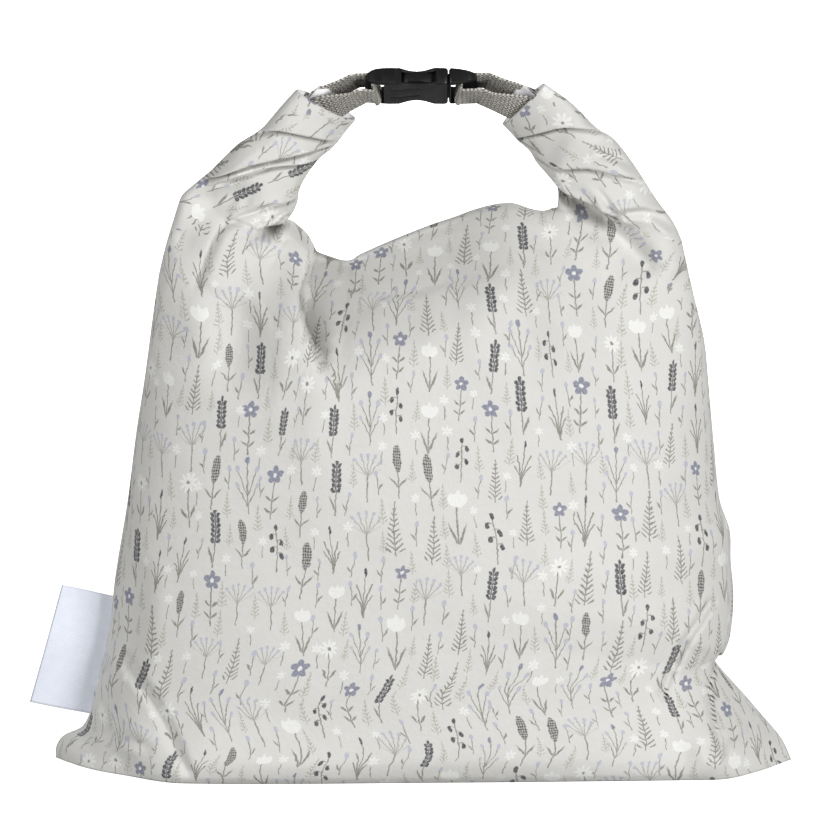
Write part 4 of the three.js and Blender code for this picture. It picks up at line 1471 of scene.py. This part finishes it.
def strap_route(side, arm):
    """One strand's middle line from inside the roll's end to the buckle's bar, and its width's direction."""
    sign = -1 if side == "left" else 1
    middle, into, slant = roll_end(arm)
    bar_end = on_buckle(sign * (BUCKLE_HALF + STRAP["lead"]), 0)
    bow = middle + (bar_end - middle) * STRAP["bow_at"] - into * STRAP["bow"]
    line = line_through([middle + into * STRAP["tucked"], middle, bow, bar_end], STRAP_STEPS + 1)
    turn = math.radians(BUCKLE_TURN)
    across = np.array([0, math.cos(turn), math.sin(turn)])
    slant = slant * np.sign(slant @ across)
    blend = smooth(*STRAP["turns"], np.linspace(0, 1, len(line)))[:, None]
    return line, slant + (across - slant) * blend, sign


def make_strap(side, arm, material):
    """Webbing looped round the buckle's bar: a flat, round-edged section carried out, round it and back."""
    line, wide, sign = strap_route(side, arm)
    forward, wide, normal = frame_at(np.gradient(line, axis=0), wide)
    facing = on_buckle(0, 1) - on_buckle(0, 0)
    normal = normal * np.sign((normal[-1] * facing).sum())
    k = np.linspace(0, 1, len(line))
    spread = smooth(*STRAP["spreads"], k)[:, None]
    front = line + normal * (STRAP["in_roll"] + (STRAP["front_bar"] - STRAP["in_roll"]) * spread)
    back = line - normal * (STRAP["in_roll"] + (STRAP["back_bar"] - STRAP["in_roll"]) * spread)
    angle = np.linspace(math.pi / 2, -math.pi / 2, LOOP_STEPS + 1)
    bar_in = sign * STRAP["bar_in"][side]
    turn_x = bar_in - sign * STRAP["turn"] * np.cos(angle)
    middle = (STRAP["front_bar"] - STRAP["back_bar"]) / 2
    height = middle + (STRAP["front_bar"] - middle) * np.sin(angle)
    loop = np.stack([on_buckle(x, z) for x, z in zip(turn_x, height)])
    route = np.concatenate([front, loop, back[::-1]])
    widths = np.concatenate([wide, np.repeat(wide[-1:], len(loop), 0), wide[::-1]])
    forward, wide, normal = frame_at(np.gradient(route, axis=0), widths)
    phi = np.linspace(0, 2 * math.pi, STRAP_RING + 1)
    a = STRAP["width"] / 2 * np.sign(np.cos(phi)) * np.abs(np.cos(phi)) ** STRAP["square_wide"]
    b = STRAP["thick"] / 2 * np.sign(np.sin(phi)) * np.abs(np.sin(phi)) ** STRAP["square_thick"]
    points = route[:, None] + wide[:, None] * a[None, :, None] + normal[:, None] * b[None, :, None]
    length = np.concatenate([[0], np.cumsum(np.linalg.norm(np.diff(route, axis=0), axis=1))])
    prints = np.stack(np.broadcast_arrays(a[None], length[:, None]), 2)
    skin = Skin()
    skin.add(points * MM, prints, False)
    skin.close_rows(points * MM, prints, False)
    return skin.piece("webbing_" + side, [material])


def make_buckle_half(name, material):
    """A half of the buckle, thinned at its ends and its waist, with edges as soft as a moulded part's.

    What stands out from the buckle's middle plane past the bars' half thickness is multiplied by a share
    that depends on the place along the buckle. Cuts across its length let the faces bend.
    """
    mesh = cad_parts[name].data.copy()
    work = bmesh.new()
    work.from_mesh(mesh)
    bmesh.ops.remove_doubles(work, verts=work.verts, dist=MOULD["same_point"])
    same_face = math.radians(MOULD["same_face"])
    bmesh.ops.dissolve_limit(work, angle_limit=same_face, verts=list(work.verts), edges=list(work.edges))
    along = Vector((1, 0, 0))
    for x in BUCKLE_TAPER["x"]:
        everything = [*work.verts, *work.edges, *work.faces]
        place = along * (BUCKLE_AT[0] + x) * MM
        near = MOULD["same_plane"]
        bmesh.ops.bisect_plane(work, geom=everything, dist=near, plane_co=place, plane_no=along)
    work.to_mesh(mesh)
    work.free()
    points = np.empty(3 * len(mesh.vertices), np.float32)
    mesh.vertices.foreach_get("co", points)
    points = points.reshape(-1, 3).astype(float) / MM
    out = on_buckle(0, 1) - on_buckle(0, 0)
    rise = (points - np.array(BUCKLE_AT)) @ out
    past = np.sign(rise) * np.maximum(np.abs(rise) - BAR_HALF, 0)
    share = spline(BUCKLE_TAPER, "x", "share", points[:, 0] - BUCKLE_AT[0])
    points += ((share - 1) * past)[:, None] * out
    mesh.vertices.foreach_set("co", (points * MM).astype(np.float32).ravel())
    mesh.materials.clear()
    mesh.materials.append(material)
    mesh.shade_smooth()
    shell = bpy.data.objects.new(name + "_moulded", mesh)
    bpy.context.scene.collection.objects.link(shell)
    soften = shell.modifiers.new("soft edges", "BEVEL")
    soften.width = MOULD["radius"] * MM
    soften.segments = MOULD["steps"]
    soften.limit_method = "ANGLE"
    soften.angle_limit = math.radians(MOULD["angle"])
    soften.harden_normals = True
    return shell


def thickened(piece, thick_mm):
    """A folded sheet given its cloth's thickness on the inside of the fold."""
    solid = piece.modifiers.new("cloth", "SOLIDIFY")
    solid.thickness = thick_mm * MM
    solid.offset = -1
    return piece


def make_label(material):
    """Folded ribbon in the side seam: out from the seam, round the fold and back, swaying along its height.

    Out is 0 at the seam and 1 at the fold, where the two layers close.
    """
    r = np.linspace(0, 1, LABEL_ROWS + 1)[:, None]
    k = np.linspace(-1, 1, LABEL_COLUMNS + 1)[None]
    out = 1 - np.abs(k)
    out = np.sqrt(out * (2 - out)) * LABEL["round"] + out * (1 - LABEL["round"])
    seam_x = LABEL["x0"] + (LABEL["x1"] - LABEL["x0"]) * r
    seam_z = LABEL["z0"] + (LABEL["z1"] - LABEL["z0"]) * r
    wide = LABEL["wide0"] + (LABEL["wide1"] - LABEL["wide0"]) * r
    x = seam_x - wide * out
    z = seam_z + LABEL["rise"] * out
    ripple = LABEL["ripple"] * np.sin(LABEL["ripple_up"] * r + LABEL["ripple_out"] * out)
    sway = (LABEL["sway"] * np.sin(math.pi * r) + ripple) * out
    gape = LABEL["open"] * np.sin(math.pi * out) + LABEL["thick"]
    y = -sway + np.sign(k) * np.sqrt(np.clip(1 - out ** LABEL["tight"], 0, 1)) * gape / 2
    points = np.stack(np.broadcast_arrays(x, y, z), 2)
    prints = np.stack(np.broadcast_arrays(k * LABEL["wide0"], r * LABEL["tall"]), 2)
    skin = Skin()
    skin.add(points * MM, prints, True)
    return thickened(skin.piece("side_label", [material]), LABEL["cloth"])


def make_lining_tab(side, arm, material):
    """White inner cloth turned out at the roll's end: a soft lip between the strands and the outer edge."""
    middle, into, slant = roll_end(arm)
    thick = np.cross(-into, slant)
    p = np.linspace(-1, 1, TAB_COLUMNS + 1)[None]
    q = np.linspace(-1, 1, TAB_ROWS + 1)[:, None]
    along = TAB["at"] + TAB["half_wide"] * p
    shown = 1 - np.abs(q)
    edge = TAB["shown"] - TAB["corner"] * p**2 + TAB["wave"] * np.sin(TAB["wave_rate"] * p)
    reach = TAB["tucked"] + (edge - TAB["tucked"]) * shown
    half_thick = TAB["half_thick"] * (1 - TAB["thinner"] * np.abs(p) ** TAB["square"])
    lift = np.sign(q) * np.sqrt(1 - shown ** TAB["square"]) * half_thick
    lift = lift + TAB["curl"] * np.sin(TAB["curl_rate"] * p + TAB["curl_from"])
    points = middle + slant * along[..., None] - into * reach[..., None] + thick * lift[..., None]
    prints = np.stack(np.broadcast_arrays(along, reach), 2)
    skin = Skin()
    skin.add(points * MM, prints, False)
    return thickened(skin.piece("lining_tab_" + side, [material]), TAB["cloth"])


def dress(piece):
    """Fixes a finished piece to the bag."""
    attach(piece, "root")


make_camera()
make_studio()

cotton = printed_cotton()
lining = white_lining()
webbing = grey_webbing()
plastic = black_plastic()

cloth = make_cloth(cotton, lining)
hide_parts("pouch", "rolled_mouth")
dress(cloth)

for side, arm in (("left", LEFT_ARM), ("right", RIGHT_ARM)):
    strap = make_strap(side, arm, webbing)
    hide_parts("strap_" + side)
    dress(strap)
    tab = make_lining_tab(side, arm, lining)
    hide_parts("lining_" + side)
    dress(tab)

for half in ("buckle_socket", "buckle_plug"):
    shell = make_buckle_half(half, plastic)
    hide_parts(half)
    dress(shell)

label = make_label(white_satin())
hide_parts("label")
dress(label)
